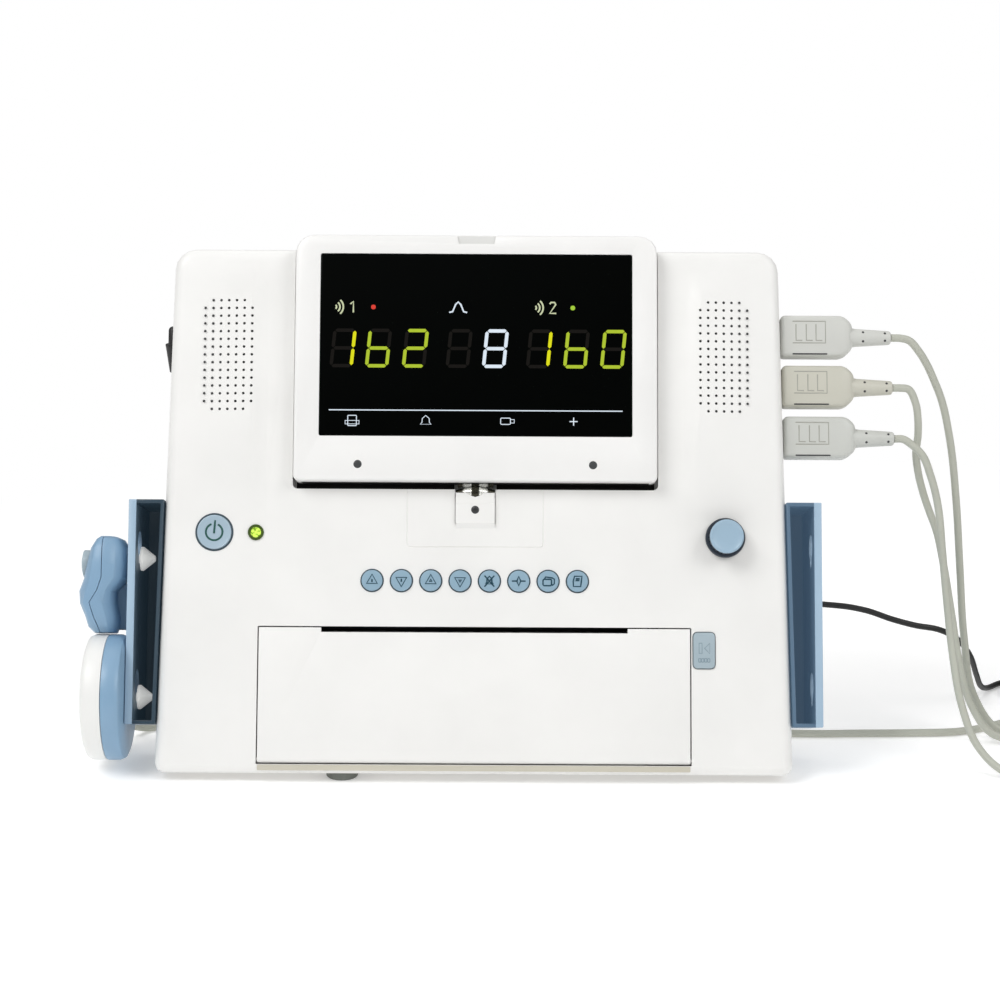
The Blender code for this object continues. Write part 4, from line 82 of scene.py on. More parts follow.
ROUTE_A = (
    (0.2063, 0.0770, 0.1978),
    (0.2116, 0.0772, 0.1924),
    (0.2160, 0.0775, 0.1856),
    (0.2203, 0.0778, 0.1768),
    (0.2227, 0.0780, 0.1714),
    (0.2285, 0.0785, 0.1500),
    (0.2330, 0.0790, 0.1200),
    (0.2365, 0.0790, 0.0850),
    (0.2400, 0.0780, 0.0500),
    (0.2455, 0.0760, 0.0220),
    (0.2560, 0.0730, 0.0065),
    (0.2700, 0.0695, 0.0021),
    (0.2860, 0.0668, 0.0021),
)
ROUTE_A_BACK = (
    (0.2830, 0.1070, 0.0050),
    (0.2620, 0.0920, 0.0021),
    (0.2400, 0.0795, 0.0021),
    (0.2150, 0.0765, 0.0021),
    (0.1900, 0.0755, 0.0021),
    (0.1650, 0.0745, 0.0021),
    (0.1450, 0.0765, 0.0021),
    (0.1280, 0.0850, 0.0021),
    (0.1175, 0.1000, 0.0021),
    (0.1120, 0.1150, 0.0021),
    (0.1050, 0.1255, 0.0021),
    (0.0900, 0.1285, 0.0021),
    (0.0, 0.1290, 0.0021),
    (-0.0900, 0.1285, 0.0021),
    (-0.1080, 0.1225, 0.0021),
    (-0.1220, 0.1060, 0.0021),
    (-0.1370, 0.0920, 0.0021),
    (-0.1520, 0.0835, 0.0021),
    (-0.1630, 0.0770, 0.0025),
    (-0.1680, 0.0690, 0.0060),
)
ROUTE_B = (
    (0.2059, 0.0700, 0.1753),
    (0.2097, 0.0700, 0.1689),
    (0.2113, 0.0700, 0.1604),
    (0.2116, 0.0700, 0.1526),
    (0.2110, 0.0700, 0.1448),
    (0.2123, 0.0700, 0.1355),
    (0.2150, 0.0700, 0.1256),
    (0.2188, 0.0700, 0.1153),
    (0.2220, 0.0700, 0.1075),
    (0.2265, 0.0700, 0.0900),
    (0.2315, 0.0700, 0.0655),
    (0.2365, 0.0690, 0.0400),
    (0.2430, 0.0675, 0.0190),
    (0.2530, 0.0655, 0.0055),
    (0.2660, 0.0638, 0.0023),
    (0.2840, 0.0626, 0.0021),
)
ROUTE_C = (
    (0.2077, 0.0620, 0.1496),
    (0.2130, 0.0620, 0.1443),
    (0.2168, 0.0620, 0.1355),
    (0.2199, 0.0615, 0.1255),
    (0.2215, 0.0610, 0.1178),
    (0.2235, 0.0590, 0.1000),
    (0.2260, 0.0540, 0.0750),
    (0.2285, 0.0460, 0.0500),
    (0.2320, 0.0360, 0.0280),
    (0.2380, 0.0250, 0.0120),
    (0.2470, 0.0150, 0.0040),
    (0.2590, 0.0070, 0.0021),
    (0.2760, 0.0020, 0.0021),
    (0.3000, 0.0002, 0.0021),
    (0.3300, 0.0, 0.0021),
    (0.3520, 0.0003, 0.0021),
)
ROUTE_SUPPLY = (
    (-0.1472, 0.0995, 0.1700),
    (-0.1462, 0.1040, 0.1550),
    (-0.1430, 0.1110, 0.1350),
    (-0.1400, 0.1150, 0.1150),
    (-0.1320, 0.1115, 0.0950),
    (-0.1200, 0.1040, 0.0780),
    (-0.1040, 0.0985, 0.0690),
    (-0.0880, 0.0965, 0.0662),
    (-0.0600, 0.0960, 0.0655),
    (-0.0200, 0.0980, 0.0655),
    (0.0300, 0.0990, 0.0655),
    (0.0800, 0.0985, 0.0655),
    (0.1050, 0.0985, 0.0655),
    (0.1250, 0.0990, 0.0645),
    (0.1500, 0.0995, 0.0632),
    (0.1734, 0.1000, 0.0614),
    (0.1865, 0.1000, 0.0601),
    (0.1955, 0.1005, 0.0581),
    (0.2080, 0.1010, 0.0537),
    (0.2204, 0.1020, 0.0502),
    (0.2317, 0.1040, 0.0478),
    (0.2420, 0.1090, 0.0420),
    (0.2510, 0.1170, 0.0310),
    (0.2570, 0.1280, 0.0180),
    (0.2625, 0.1410, 0.0075),
    (0.2690, 0.1545, 0.0025),
    (0.2790, 0.1665, 0.0018),
)
TAIL_PROBE = (
    (0.0120, 0.0001, 0.0075),
    (0.0260, 0.0006, 0.0105),
    (0.0395, 0.0015, 0.0132),
)
TAIL_SUPPLY = (
    (0.0120, -0.0001, 0.0056),
    (0.0260, -0.0043, 0.0090),
    (0.0360, -0.0091, 0.0122),
)

# Pieces, modelled on the face: u to the right, v up the face, w out of it
WINDOW_W = 0.0077
CASE_W = 0.0080
NECK_W = 0.0015
COLUMN_RISE = 0.0030
KEY_RISE = 0.0012
KEY_PITCH = 0.0137
KEY_V = 0.0903
KEY_RADIUS = 0.0049
KEY_LINE = 0.00070
POWER_U, POWER_V, POWER_RADIUS = -0.1220, 0.1126, 0.00805
LIGHT_U, LIGHT_RADIUS = -0.1026, 0.0035
KNOB_U, KNOB_V, KNOB_RADIUS = 0.1170, 0.1110, 0.0079
KNOB_SKIRT, KNOB_RISE = 0.0093, 0.0105
GRILLE_U, GRILLE_V, GRILLE_PITCH = 0.1167, 0.1965, 0.0037
GRILLE_COLUMNS, GRILLE_ROWS = 7, 15
GRILLE_HOLE = 0.00068
GRILLE_DEPTH = 0.0014
PANEL_HALF, PANEL_LOW, PANEL_HIGH, PANEL_CORNER = 0.0319, 0.1062, 0.1345, 0.0018
CRADLE_PARTING = 0.15885
CONNECTOR_GAP = 0.0005
CONNECTOR_VS = (0.2085, 0.1844, 0.1600)
CONNECTOR_LENGTH, CONNECTOR_HEIGHT, CONNECTOR_DEPTH = 0.0300, 0.0197, 0.0130
SHOULDER_LENGTH = 0.0045
RELIEF_LENGTH, RELIEF_RADIUS, RELIEF_TIP = 0.0185, 0.0043, 0.0031
CONNECTOR_W = -0.0065
CONNECTOR_CENTRE_W = -0.0130
SHOULDER_SHARES = (1.0, 0.60, 0.74)
NOSE, NOSE_X = (0.0072, 0.0128, 0.0078), -0.0024
GRIP_SLIT, GRIP_SLIT_X, GRIP_SLIT_V = (0.0165, 0.0007, 0.0008), 0.0138, -0.0088
GRIP_MARKS = (0.0072, 0.0121, 0.0167)
# how far along, to the side and up each pair of dark dots sits on the relief; their dark is painted shade in
# its holes
RELIEF_DOTS = ((0.0395, 0.0022, 0.00350), (0.0500, 0.0018, 0.00300))
HINGE_V, HINGE_W = 0.1319, -0.0015
BARREL_RADIUS, BARREL_TIP, BARREL_HALF = 0.00355, 0.0011, 0.0092
COLLAR, COLLAR_DROP = (0.0182, 0.0052, 0.0058), 0.0029
SADDLE, SADDLE_RISE, SADDLE_DEPTH = (0.0168, 0.0030, 0.0018), 0.0042, 0.0012
NECK_FOOT_V, NECK_SCREW_V, NECK_SCREW_RADIUS = 0.1172, 0.1236, 0.0019
FLUTES, FLUTE_RADIUS, FLUTE_OUT = 24, 0.00045, 0.00012
ADAPTER_PINS_X = 0.2550
PLUG_U, PLUG_V, PLUG_W = -0.14335, 0.2104, -0.0362
PLUG_HEAD = (0.0131, 0.0110, 0.0120)
PLUG_RELIEF = ((0.0022, 0.0), (0.0028, 0.0004), (0.0031, 0.0030), (0.0040, 0.0110), (0.0044, 0.0140))
REAR_W = -0.0520
LID_WIDTH, LID_HEIGHT, LID_CORNER, LID_V, LID_LINE = 0.1300, 0.0640, 0.0040, 0.1740, 0.0006
LATCH, LATCH_V = (0.0240, 0.0070, 0.0012), 0.2020
RIB, RIBS, RIB_PITCH, RIB_W = (0.0200, 0.0007, 0.0006), 3, 0.0018, 0.0007
VENT, VENTS, VENT_U, VENT_V, VENT_PITCH = (0.0016, 0.0220, 0.0002), 7, 0.1010, 0.2180, 0.0042
REAR_SCREW_RADIUS = 0.0030
REAR_SCREWS = (
    ("low_a", -0.1180, 0.1300),
    ("low_b", 0.1180, 0.1300),
    ("high_a", -0.1240, 0.2360),
    ("high_b", 0.1240, 0.2360),
)
# A dark pad in the display's pocket and a dark skirt under its case: painted shade in the gap.
SHADE_PAD_WIDTH, SHADE_PAD_HEIGHT, SHADE_PAD_CORNER, SHADE_PAD_V = 0.1690, 0.0058, 0.0006, 0.1366
POCKET_W = -0.0090
WELL, WELL_V = (0.0200, 0.0130, 0.0010), 0.1385
SHADE_SKIRT, SHADE_SKIRT_V, SHADE_SKIRT_W = (0.1630, 0.0002, 0.0080), 0.1364, -0.0036
BEZEL_DOT_U, BEZEL_DOT_V = 0.0549, 0.1441
RELEASE_SIGN_U, RELEASE_SIGN_V, RELEASE_SIGN_W = 0.1070, 0.0584, 0.0008
LIP_WIDTH, LIP_HEIGHT, LIP_CORNER, LIP_V = 0.2008, 0.0026, 0.0004, 0.0033
TAB_DEPTH = 0.0012
HAIRLINE = 0.00055
FINE = 0.00005
SMOOTH_ANGLE = math.radians(32.0)
SOFT_ANGLE = 35.0
TENTHS = 10000.0  # of a millimetre, in a metre
AS_MADE = Matrix.Identity(4)
ALONG_X = Matrix.Rotation(math.pi / 2.0, 4, "Y")

# Finishes
PROBE_BLUE = (0.235, 0.385, 0.545)
CRADLE_BLUE = (0.375, 0.515, 0.650)
SOIL_SIZE = 0.035
GLOSS_SIZE, GLOSS_CHANGE = 0.012, 0.05
PARTING_BLUR = 0.0001
# how far the chrome's painted reflection bands reach from the middle plane
REFLECTION_BAND_REACH = 0.010
LOW_SHINE = 0.04

# Light
FLOOR_SIZE = 60.0
FLOOR_COLOUR = (0.86, 0.86, 0.86)
FLOOR_GLOW = 0.30
FLOOR_NEAR = 0.35
FLOOR_FAR = 0.75
SKY_TOP = 0.62
SKY_FRONT = 0.25
LAMPS = (
    # place, size across, power in watts
    (Vector((-1.5, -1.1, 2.0)), 1.3, 30.0),
    (Vector((1.5, -1.3, 1.7)), 1.2, 18.0),
    (Vector((-0.2, 0.9, 2.2)), 1.6, 8.0),
)
LAMP_TARGET = Vector((-0.15, 0.0, 0.12))


def added(name, data):
    """A new object in the scene."""
    made = bpy.data.objects.new(name, data)
    bpy.context.scene.collection.objects.link(made)
    return made


def camera():
    """The photograph's viewpoint: in front, a little above, with a long lens."""
    forward = Vector((0.0, math.cos(CAMERA_DOWN), -math.sin(CAMERA_DOWN)))
    level = Vector((0.0, math.sin(CAMERA_DOWN), math.cos(CAMERA_DOWN)))
    side = Vector((1.0, 0.0, 0.0))
    right = side * math.cos(CAMERA_ROLL) + level * math.sin(CAMERA_ROLL)
    up = level * math.cos(CAMERA_ROLL) - side * math.sin(CAMERA_ROLL)
    data = bpy.data.cameras.new("camera")
    data.lens = CAMERA_LENS
    made = added("camera", data)
    turn = Matrix((right, up, -forward)).transposed().to_4x4()
    made.matrix_world = Matrix.Translation(CAMERA_PLACE) @ turn
    bpy.context.scene.camera = made


# Node materials


def new_material(name):
    """An empty node material: its tree, its Principled shader and its object coordinates."""
    made = bpy.data.materials.new(name)
    made.use_nodes = True
    tree = made.node_tree
    shader = tree.nodes["Principled BSDF"]
    spots = tree.nodes.new("ShaderNodeTexCoord").outputs["Object"]
    return made, tree, shader, spots


def noise(tree, spots, size, detail=2.0):
    """A noise whose features are about this large, in metres."""
    made = tree.nodes.new("ShaderNodeTexNoise")
    made.inputs["Scale"].default_value = 1.0 / size
    made.inputs["Detail"].default_value = detail
    tree.links.new(spots, made.inputs["Vector"])
    return made.outputs["Fac"]


def ranged(tree, value, low, high, start=0.3, end=0.7):
    """A value between start and end, spread over low to high."""
    made = tree.nodes.new("ShaderNodeMapRange")
    made.inputs["From Min"].default_value = start
    made.inputs["From Max"].default_value = end
    made.inputs["To Min"].default_value = low
    made.inputs["To Max"].default_value = high
    tree.links.new(value, made.inputs["Value"])
    return made.outputs["Result"]


def mixed(tree, share, first, second):
    """Two colours mixed by a value."""
    made = tree.nodes.new("ShaderNodeMix")
    made.data_type = "RGBA"
    tree.links.new(share, made.inputs["Factor"])
    for socket, colour in (("A", first), ("B", second)):
        target = [s for s in made.inputs if s.name == socket and s.type == "RGBA"][0]
        if isinstance(colour, tuple):
            target.default_value = (*colour, 1.0)
        else:
            tree.links.new(colour, target)
    return [s for s in made.outputs if s.type == "RGBA"][0]


def bumped(tree, shader, height, strength, depth):
    """A height turned into a bump on the shader."""
    made = tree.nodes.new("ShaderNodeBump")
    made.inputs["Strength"].default_value = strength
    made.inputs["Distance"].default_value = depth
    tree.links.new(height, made.inputs["Height"])
    tree.links.new(made.outputs["Normal"], shader.inputs["Normal"])


def shaded(colour, share):
    """A colour made darker by a share."""
    return tuple(c * (1.0 - share) for c in colour)


def soiled(tree, spots, colour, wear):
    """A colour with a little soiling in broad patches."""
    soil = ranged(tree, noise(tree, spots, SOIL_SIZE, 4.0), 0.0, 1.0)
    return mixed(tree, soil, colour, shaded(colour, wear))


def moulded(tree, shader, spots, roughness, grain, relief, depth):
    """A moulded surface: handled patches with another gloss, and a fine grain."""
    patches = noise(tree, spots, GLOSS_SIZE, 3.0)
    gloss = ranged(tree, patches, roughness - GLOSS_CHANGE, roughness + GLOSS_CHANGE)
    tree.links.new(gloss, shader.inputs["Roughness"])
    bumped(tree, shader, noise(tree, spots, grain), relief, depth)


def plastic(name, colour, roughness, grain=0.0005, relief=0.25, wear=0.04):
    """Moulded plastic with a little soiling."""
    made, tree, shader, spots = new_material(name)
    tree.links.new(soiled(tree, spots, colour, wear), shader.inputs["Base Color"])
    moulded(tree, shader, spots, roughness, grain, relief, grain / 8.0)
    return made


def metal(name, colour, roughness, streak):
    """Metal with fine lines along X and a roughness that changes along them."""
    made, tree, shader, spots = new_material(name)
    mapping = tree.nodes.new("ShaderNodeMapping")
    mapping.inputs["Scale"].default_value = (0.04, 1.0, 1.0)
    tree.links.new(spots, mapping.inputs["Vector"])
    lines = noise(tree, mapping.outputs["Vector"], streak)
    tint = mixed(tree, lines, colour, shaded(colour, 0.12))
    tree.links.new(tint, shader.inputs["Base Color"])
    tree.links.new(ranged(tree, lines, roughness * 0.7, roughness * 1.3), shader.inputs["Roughness"])
    bumped(tree, shader, lines, 0.15, streak / 10.0)
    shader.inputs["Metallic"].default_value = 1.0
    return made


def from_middle(tree, spots):
    """The distance from the console's middle plane."""
    split = tree.nodes.new("ShaderNodeSeparateXYZ")
    tree.links.new(spots, split.inputs["Vector"])
    away = tree.nodes.new("ShaderNodeMath")
    away.operation = "SUBTRACT"
    away.inputs[1].default_value = STAND.x
    tree.links.new(split.outputs["X"], away.inputs[0])
    size = tree.nodes.new("ShaderNodeMath")
    size.operation = "ABSOLUTE"
    tree.links.new(away.outputs["Value"], size.inputs[0])
    return size.outputs["Value"]


def parted(name, inner, outer, roughness, painted_bounce=0.0):
    """Plastic in two colours: one inside the cradles' parting, the other beyond it. The inner colour also
    glows a little: painted bounce light in the cradles' shade.
    """
    made, tree, shader, spots = new_material(name)
    start, end = CRADLE_PARTING - PARTING_BLUR, CRADLE_PARTING + PARTING_BLUR
    share = ranged(tree, from_middle(tree, spots), 0.0, 1.0, start, end)
    near, far = soiled(tree, spots, inner, 0.06), soiled(tree, spots, outer, 0.06)
    tree.links.new(mixed(tree, share, near, far), shader.inputs["Base Color"])
    # painted light: the inner colour glows, standing in for bounce light in the cradles' shade
    tree.links.new(mixed(tree, share, inner, (0.0, 0.0, 0.0)), shader.inputs["Emission Color"])
    shader.inputs["Emission Strength"].default_value = painted_bounce
    moulded(tree, shader, spots, roughness, 0.0005, 0.2, 0.00006)
    return made


def reflection_banded(name, light, dark, reflection_bands):
    """Polished metal with painted reflections: dark and light bands round it, at distances from the console's
    middle plane.
    """
    made, tree, shader, spots = new_material(name)
    ramp = tree.nodes.new("ShaderNodeValToRGB")
    stops = ramp.color_ramp.elements
    stops[0].color = (*dark, 1.0)
    stops[1].position = reflection_bands[0]
    stops[1].color = (*dark, 1.0)
    for place, colour in zip(reflection_bands[1:], (light, light, dark)):
        stops.new(place).color = (*colour, 1.0)
    reach = ranged(tree, from_middle(tree, spots), 0.0, 1.0, 0.0, REFLECTION_BAND_REACH)
    tree.links.new(reach, ramp.inputs["Fac"])
    tree.links.new(ramp.outputs["Color"], shader.inputs["Base Color"])
    lines = noise(tree, spots, 0.0006)
    tree.links.new(ranged(tree, lines, 0.22, 0.30), shader.inputs["Roughness"])
    shader.inputs["Metallic"].default_value = 0.8
    return made


def sparkling(name, colour, dark, strength):
    """A clear coloured lens: bright and dark facets that show its chip."""
    made, tree, shader, spots = new_material(name)
    cells = tree.nodes.new("ShaderNodeTexVoronoi")
    cells.inputs["Scale"].default_value = 700.0
    tree.links.new(spots, cells.inputs["Vector"])
    facets = ranged(tree, cells.outputs["Distance"], 0.0, 1.0, 0.45, 0.65)
    tint = mixed(tree, facets, colour, dark)
    tree.links.new(tint, shader.inputs["Emission Color"])
    tree.links.new(tint, shader.inputs["Base Color"])
    shader.inputs["Emission Strength"].default_value = strength
    shader.inputs["Roughness"].default_value = 0.08
    return made


def dark_glass(name, colour, roughness):
    """Polished dark glass with faint finger marks."""
    made, tree, shader, spots = new_material(name)
    marks = noise(tree, spots, 0.009, 5.0)
    gloss = ranged(tree, marks, roughness, roughness + 0.07, 0.5, 0.75)
    tree.links.new(gloss, shader.inputs["Roughness"])
    tint = mixed(tree, marks, colour, shaded(colour, 0.3))
    tree.links.new(tint, shader.inputs["Base Color"])
    shader.inputs["Specular IOR Level"].default_value = LOW_SHINE
    bumped(tree, shader, noise(tree, spots, 0.02), 0.05, 0.0001)
    return made


def glow(name, colour, strength, body=(0.004, 0.004, 0.004)):
    """A lit segment or lamp, a little uneven over its width."""
    made, tree, shader, spots = new_material(name)
    shader.inputs["Base Color"].default_value = (*body, 1.0)
    shader.inputs["Roughness"].default_value = 0.3
    shader.inputs["Specular IOR Level"].default_value = LOW_SHINE
    uneven = noise(tree, spots, 0.0015)
    tint = mixed(tree, uneven, colour, shaded(colour, 0.18))
    tree.links.new(tint, shader.inputs["Emission Color"])
    shader.inputs["Emission Strength"].default_value = strength
    return made


def paper(name, colour, sheet):
    """A stack of thin sheets: fine level lines on its sides."""
    made, tree, shader, spots = new_material(name)
    wave = tree.nodes.new("ShaderNodeTexWave")
    wave.bands_direction = "Z"
    wave.inputs["Scale"].default_value = 0.3 / sheet
    tree.links.new(spots, wave.inputs["Vector"])
    tint = mixed(tree, wave.outputs["Fac"], colour, shaded(colour, 0.2))
    tree.links.new(tint, shader.inputs["Base Color"])
    shader.inputs["Roughness"].default_value = 0.8
    bumped(tree, shader, wave.outputs["Fac"], 0.3, sheet / 3.0)
    return made


FINISHES = {
    "casing": plastic("casing_white", (0.87, 0.865, 0.845), 0.42),
    "lower": plastic("casing_lower", (0.64, 0.62, 0.575), 0.45),
    "bezel": plastic("bezel_white", (0.875, 0.87, 0.855), 0.34, 0.0004, 0.15),
    "window": dark_glass("window_black", (0.0010, 0.0014, 0.0012), 0.05),
    "dark": plastic("dark_plastic", (0.035, 0.036, 0.038), 0.50),
    "board": plastic("board_green", (0.03, 0.16, 0.07), 0.45, 0.0012, 0.5, 0.15),
    # painted reflections: the chrome's dark and light bands
    "chrome": reflection_banded("chrome", (0.93, 0.93, 0.88), (0.045, 0.043, 0.030), (0.165, 0.20, 0.50, 0.62)),
    "steel": metal("steel", (0.56, 0.57, 0.59), 0.32, 0.0003),
    "key": plastic("key_blue", (0.275, 0.415, 0.520), 0.38, 0.0004, 0.2),
    "power": plastic("power_grey_blue", (0.375, 0.490, 0.580), 0.36, 0.0004, 0.2),
    "lamp": sparkling("lamp_green", (0.55, 0.80, 0.10), (0.14, 0.27, 0.01), 0.42),
    "cap": plastic("knob_light_blue", (0.335, 0.475, 0.595), 0.34, 0.0004, 0.2),
    "navy": plastic("navy", (0.012, 0.022, 0.038), 0.40),
    "release": plastic("release_grey_blue", (0.380, 0.470, 0.520), 0.40),
    # The cradles' inner blues glow a little: painted bounce light in their shade.
    "cradle": parted("cradle_two_blues", (0.026, 0.050, 0.072), CRADLE_BLUE, 0.38, 0.20),
    # The right cradle is a lighter, brighter-glowing copy of the same blues: painted light on its shaded
    # inside.
    "cradle_painted_light": parted("cradle_painted_light_blues", (0.070, 0.120, 0.180), CRADLE_BLUE, 0.38, 0.45),
    # The belt knobs are white; their white is raised to the top and glows: painted light in the cradle's
    # shade.
    "hung": parted("hung_blue", (0.97, 0.97, 0.94), PROBE_BLUE, 0.36, 0.25),
    "rubber": plastic("rubber_grey", (0.20, 0.215, 0.195), 0.75, 0.0006, 0.5, 0.12),
    "roller": plastic("roller_rubber", (0.03, 0.03, 0.03), 0.80, 0.0006, 0.5, 0.15),
    "probe_white": plastic("probe_white", (0.86, 0.86, 0.84), 0.38),
    "probe_blue": plastic("probe_blue", PROBE_BLUE, 0.36),
    "plug": plastic("plug_grey", (0.605, 0.61, 0.575), 0.46),
    "plug_warm": plastic("plug_warm_grey", (0.565, 0.555, 0.48), 0.46),
    "plug_cool": plastic("plug_cool_grey", (0.575, 0.585, 0.55), 0.46),
    # painted shade in grooves and hairline gaps
    "groove_shade": plastic("groove_shade_grey", (0.36, 0.36, 0.32), 0.60),
    # painted shade in the bezel's finger recess
    "tab_shade": plastic("tab_shade_grey", (0.74, 0.74, 0.72), 0.45),
    "lip": plastic("lip_beige", (0.58, 0.55, 0.46), 0.50),
    # painted shade in the gaps round the buttons
    "button_gap_shade": plastic("button_gap_shade_slate", (0.055, 0.085, 0.110), 0.50),
    # painted shade: the black in the gap round the display
    "display_gap_shade": plastic("display_gap_shade_black", (0.012, 0.011, 0.009), 0.70),
    "emboss": plastic("emboss_grey_blue", (0.235, 0.315, 0.365), 0.45),
    "lead": plastic("lead_grey", (0.50, 0.51, 0.44), 0.46, 0.0007, 0.2, 0.10),
    "black": plastic("lead_black", (0.0075, 0.0075, 0.0075), 0.46, 0.0007, 0.2, 0.10),
    "screen_green": glow("screen_green", (0.46, 0.60, 0.035), 1.0),
    "screen_yellow": glow("screen_yellow", (0.80, 0.80, 0.01), 1.0),
    "screen_white": glow("screen_white", (0.80, 0.90, 1.0), 1.0),
    "screen_unlit": glow("screen_unlit", (0.0065, 0.0052, 0.0040), 1.0),
    "screen_red": glow("screen_red", (0.80, 0.06, 0.04), 1.0),
    "screen_mark_green": glow("screen_mark_green", (0.40, 0.66, 0.05), 1.0),
    "screen_label": glow("screen_label", (0.66, 0.72, 0.46), 1.0),
    "smoke": plastic("smoke_window", (0.055, 0.058, 0.06), 0.25, 0.0004, 0.1),
    "icon": plastic("sign_teal", (0.008, 0.055, 0.085), 0.45, 0.0003, 0.2),
    "power_icon": plastic("sign_green", (0.012, 0.085, 0.070), 0.45, 0.0003, 0.2),
    "lamp_rim": plastic("lamp_rim", (0.045, 0.085, 0.004), 0.4, 0.0003, 0.2),
    "paper": paper("paper_sheets", (0.86, 0.85, 0.81), 0.0002),
}

# Which finish each frame node shows
NODE_FINISHES = {
    "casing": ("front_housing", "rear_housing", "paper_door", "display_back"),
    "lower": ("base_plate", "paper_tray"),
    "bezel": ("display_bezel",),
    "window": ("display_window",),
    "dark": ("encoder", "speaker_left", "speaker_right", "lead_sockets", "supply_socket", "battery_pack"),
    "board": ("main_board", "button_board", "lcd_panel"),
    "chrome": ("hinge_barrel",),
    "steel": ("hinge_pin", "printer_frame", "print_head", "motor_pinion"),
    "key": tuple(f"key_{n}" for n in range(1, 9)),
    "power": ("power_button",),
    "lamp": ("power_light",),
    "cap": ("knob",),
    "release": ("door_release", "marker_button"),
    "cradle": ("cradle_left", "cradle_right"),
    "hung": ("probe_shell", "marker_rear"),
    "rubber": ("front_foot",),
    "roller": ("platen_roller",),
    "probe_white": ("probe_face",),
    "probe_blue": ("spare_probe_1", "spare_probe_2", "marker_front"),
    "plug": ("connector_a",),
    "plug_warm": ("connector_b",),
    "plug_cool": ("connector_c",),
    "black": ("supply_plug", "supply_adapter"),
    "paper": ("paper_stack",),
}


def finish_nodes():
    """Gives every frame node its finish."""
    for finish, names in NODE_FINISHES.items():
        for name in names:
            slots = nodes[name].data.materials
            slots.clear()
            slots.append(FINISHES[finish])


# Modelling


def only(made):
    """Selects one object and nothing else."""
    bpy.ops.object.select_all(action="DESELECT")
    made.select_set(True)
    bpy.context.view_layer.objects.active = made


def at(x=0.0, y=0.0, z=0.0):
    """A shift."""
    return Matrix.Translation((x, y, z))


def on_face(u, v, w=0.0):
    """A place on the leaning face, with its Z axis out of it."""
    return FACE @ at(u, v, w)


def tenths(*points):
    """Points given in tenths of a millimetre."""
    return [(x / TENTHS, y / TENTHS) for x, y in points]


def moved(made, place):
    """Shifts and turns a piece's mesh."""
    made.data.transform(place)
    return made


def half_width(v):
    """Half the casing's width at a height on the face."""
    return HALF_WIDTH_LOW + (HALF_WIDTH_HIGH - HALF_WIDTH_LOW) * v / FACE_HEIGHT


def settled(made, name, place, finish, body, replaced=()):
    """Puts a piece's place into its mesh, gives it its finish and lets it ride on its body."""
    made.name = name
    made.data.name = name
    made.data.transform(place @ made.matrix_world)
    made.matrix_world = Matrix.Identity(4)
    made.data.materials.clear()
    made.data.materials.append(FINISHES[finish])
    only(made)
    bpy.ops.object.shade_smooth_by_angle(angle=SMOOTH_ANGLE)
    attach(made, body)
    if replaced:
        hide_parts(*replaced)
    return made


def turned(profile, sides=48, fill="NGON"):
    """A round shape about Z: a circle, extruded and resized from one profile point to the next."""
    bpy.ops.object.select_all(action="DESELECT")
    first, height = profile[0]
    bpy.ops.mesh.primitive_circle_add(vertices=sides, radius=first, fill_type=fill, location=(0.0, 0.0, 0.0))
    made = bpy.context.object
    bpy.ops.object.mode_set(mode="EDIT")
    bpy.ops.mesh.select_all(action="SELECT")
    bpy.ops.transform.translate(value=(0.0, 0.0, height))
    for (before, low), (after, high) in zip(profile, profile[1:]):
        bpy.ops.mesh.extrude_region_move(TRANSFORM_OT_translate={"value": (0.0, 0.0, high - low)})
        share = after / before
        bpy.ops.transform.resize(value=(share, share, 1.0), center_override=(0.0, 0.0, high))
    bpy.ops.mesh.select_all(action="SELECT")
    if fill == "NOTHING":
        bpy.ops.mesh.remove_doubles(threshold=FINE / 10.0)
    bpy.ops.mesh.normals_make_consistent(inside=False)
    bpy.ops.object.mode_set(mode="OBJECT")
    return made


def ring(outer, inner, low, high, sides=64):
    """A flat ring: an open circle drawn out round its four-sided section and closed again."""
    section = [(outer, low), (outer, high), (inner, high), (inner, low), (outer, low)]
    return turned(section, sides, "NOTHING")


def bevelled(made, edge, steps, angle=30.0, miter="MITER_SHARP"):
    """A round on every edge sharper than an angle, in degrees."""
    only(made)
    change = made.modifiers.new("edges", "BEVEL")
    change.width = edge
    change.segments = steps
    change.limit_method = "ANGLE"
    change.angle_limit = math.radians(angle)
    change.miter_outer = miter
    bpy.ops.object.modifier_apply(modifier=change.name)
    return made


def box(size):
    """A sharp-edged block centred on the origin."""
    bpy.ops.object.select_all(action="DESELECT")
    bpy.ops.mesh.primitive_cube_add(size=1.0)
    made = bpy.context.object
    made.scale = size
    bpy.ops.object.transform_apply(location=False, rotation=False, scale=True)
    return made


def block(size, edge, steps=3):
    """A block centred on the origin with all its edges rounded."""
    return bevelled(box(size), edge, steps)


def traced(curve, paths, closed):
    """Adds a line along each path to a curve and makes it a mesh."""
    for path in paths:
        spline = curve.splines.new("POLY")
        spline.points.add(len(path) - 1)
        spline.use_cyclic_u = closed
        for spot, point in zip(spline.points, path):
            spot.co = (point[0], point[1], 0.0, 1.0)
    only(added(curve.name, curve))
    bpy.ops.object.convert(target="MESH")
    return bpy.context.object


def drawn(paths, width, relief, closed=False):
    """Fine raised lines on a flat surface: round lines along paths, pressed flat."""
    line = bpy.data.curves.new("line", "CURVE")
    line.dimensions = "3D"
    line.bevel_depth = width / 2.0
    line.bevel_resolution = 1
    line.use_fill_caps = True
    return moved(traced(line, paths, closed), Matrix.Diagonal((1.0, 1.0, 2.0 * relief / width, 1.0)))


def filled(outlines, thick):
    """Flat shapes with these outlines, as a mesh this thick."""
    shape = bpy.data.curves.new("shape", "CURVE")
    shape.dimensions = "2D"
    shape.fill_mode = "BOTH"
    shape.extrude = thick / 2.0
    return traced(shape, outlines, True)


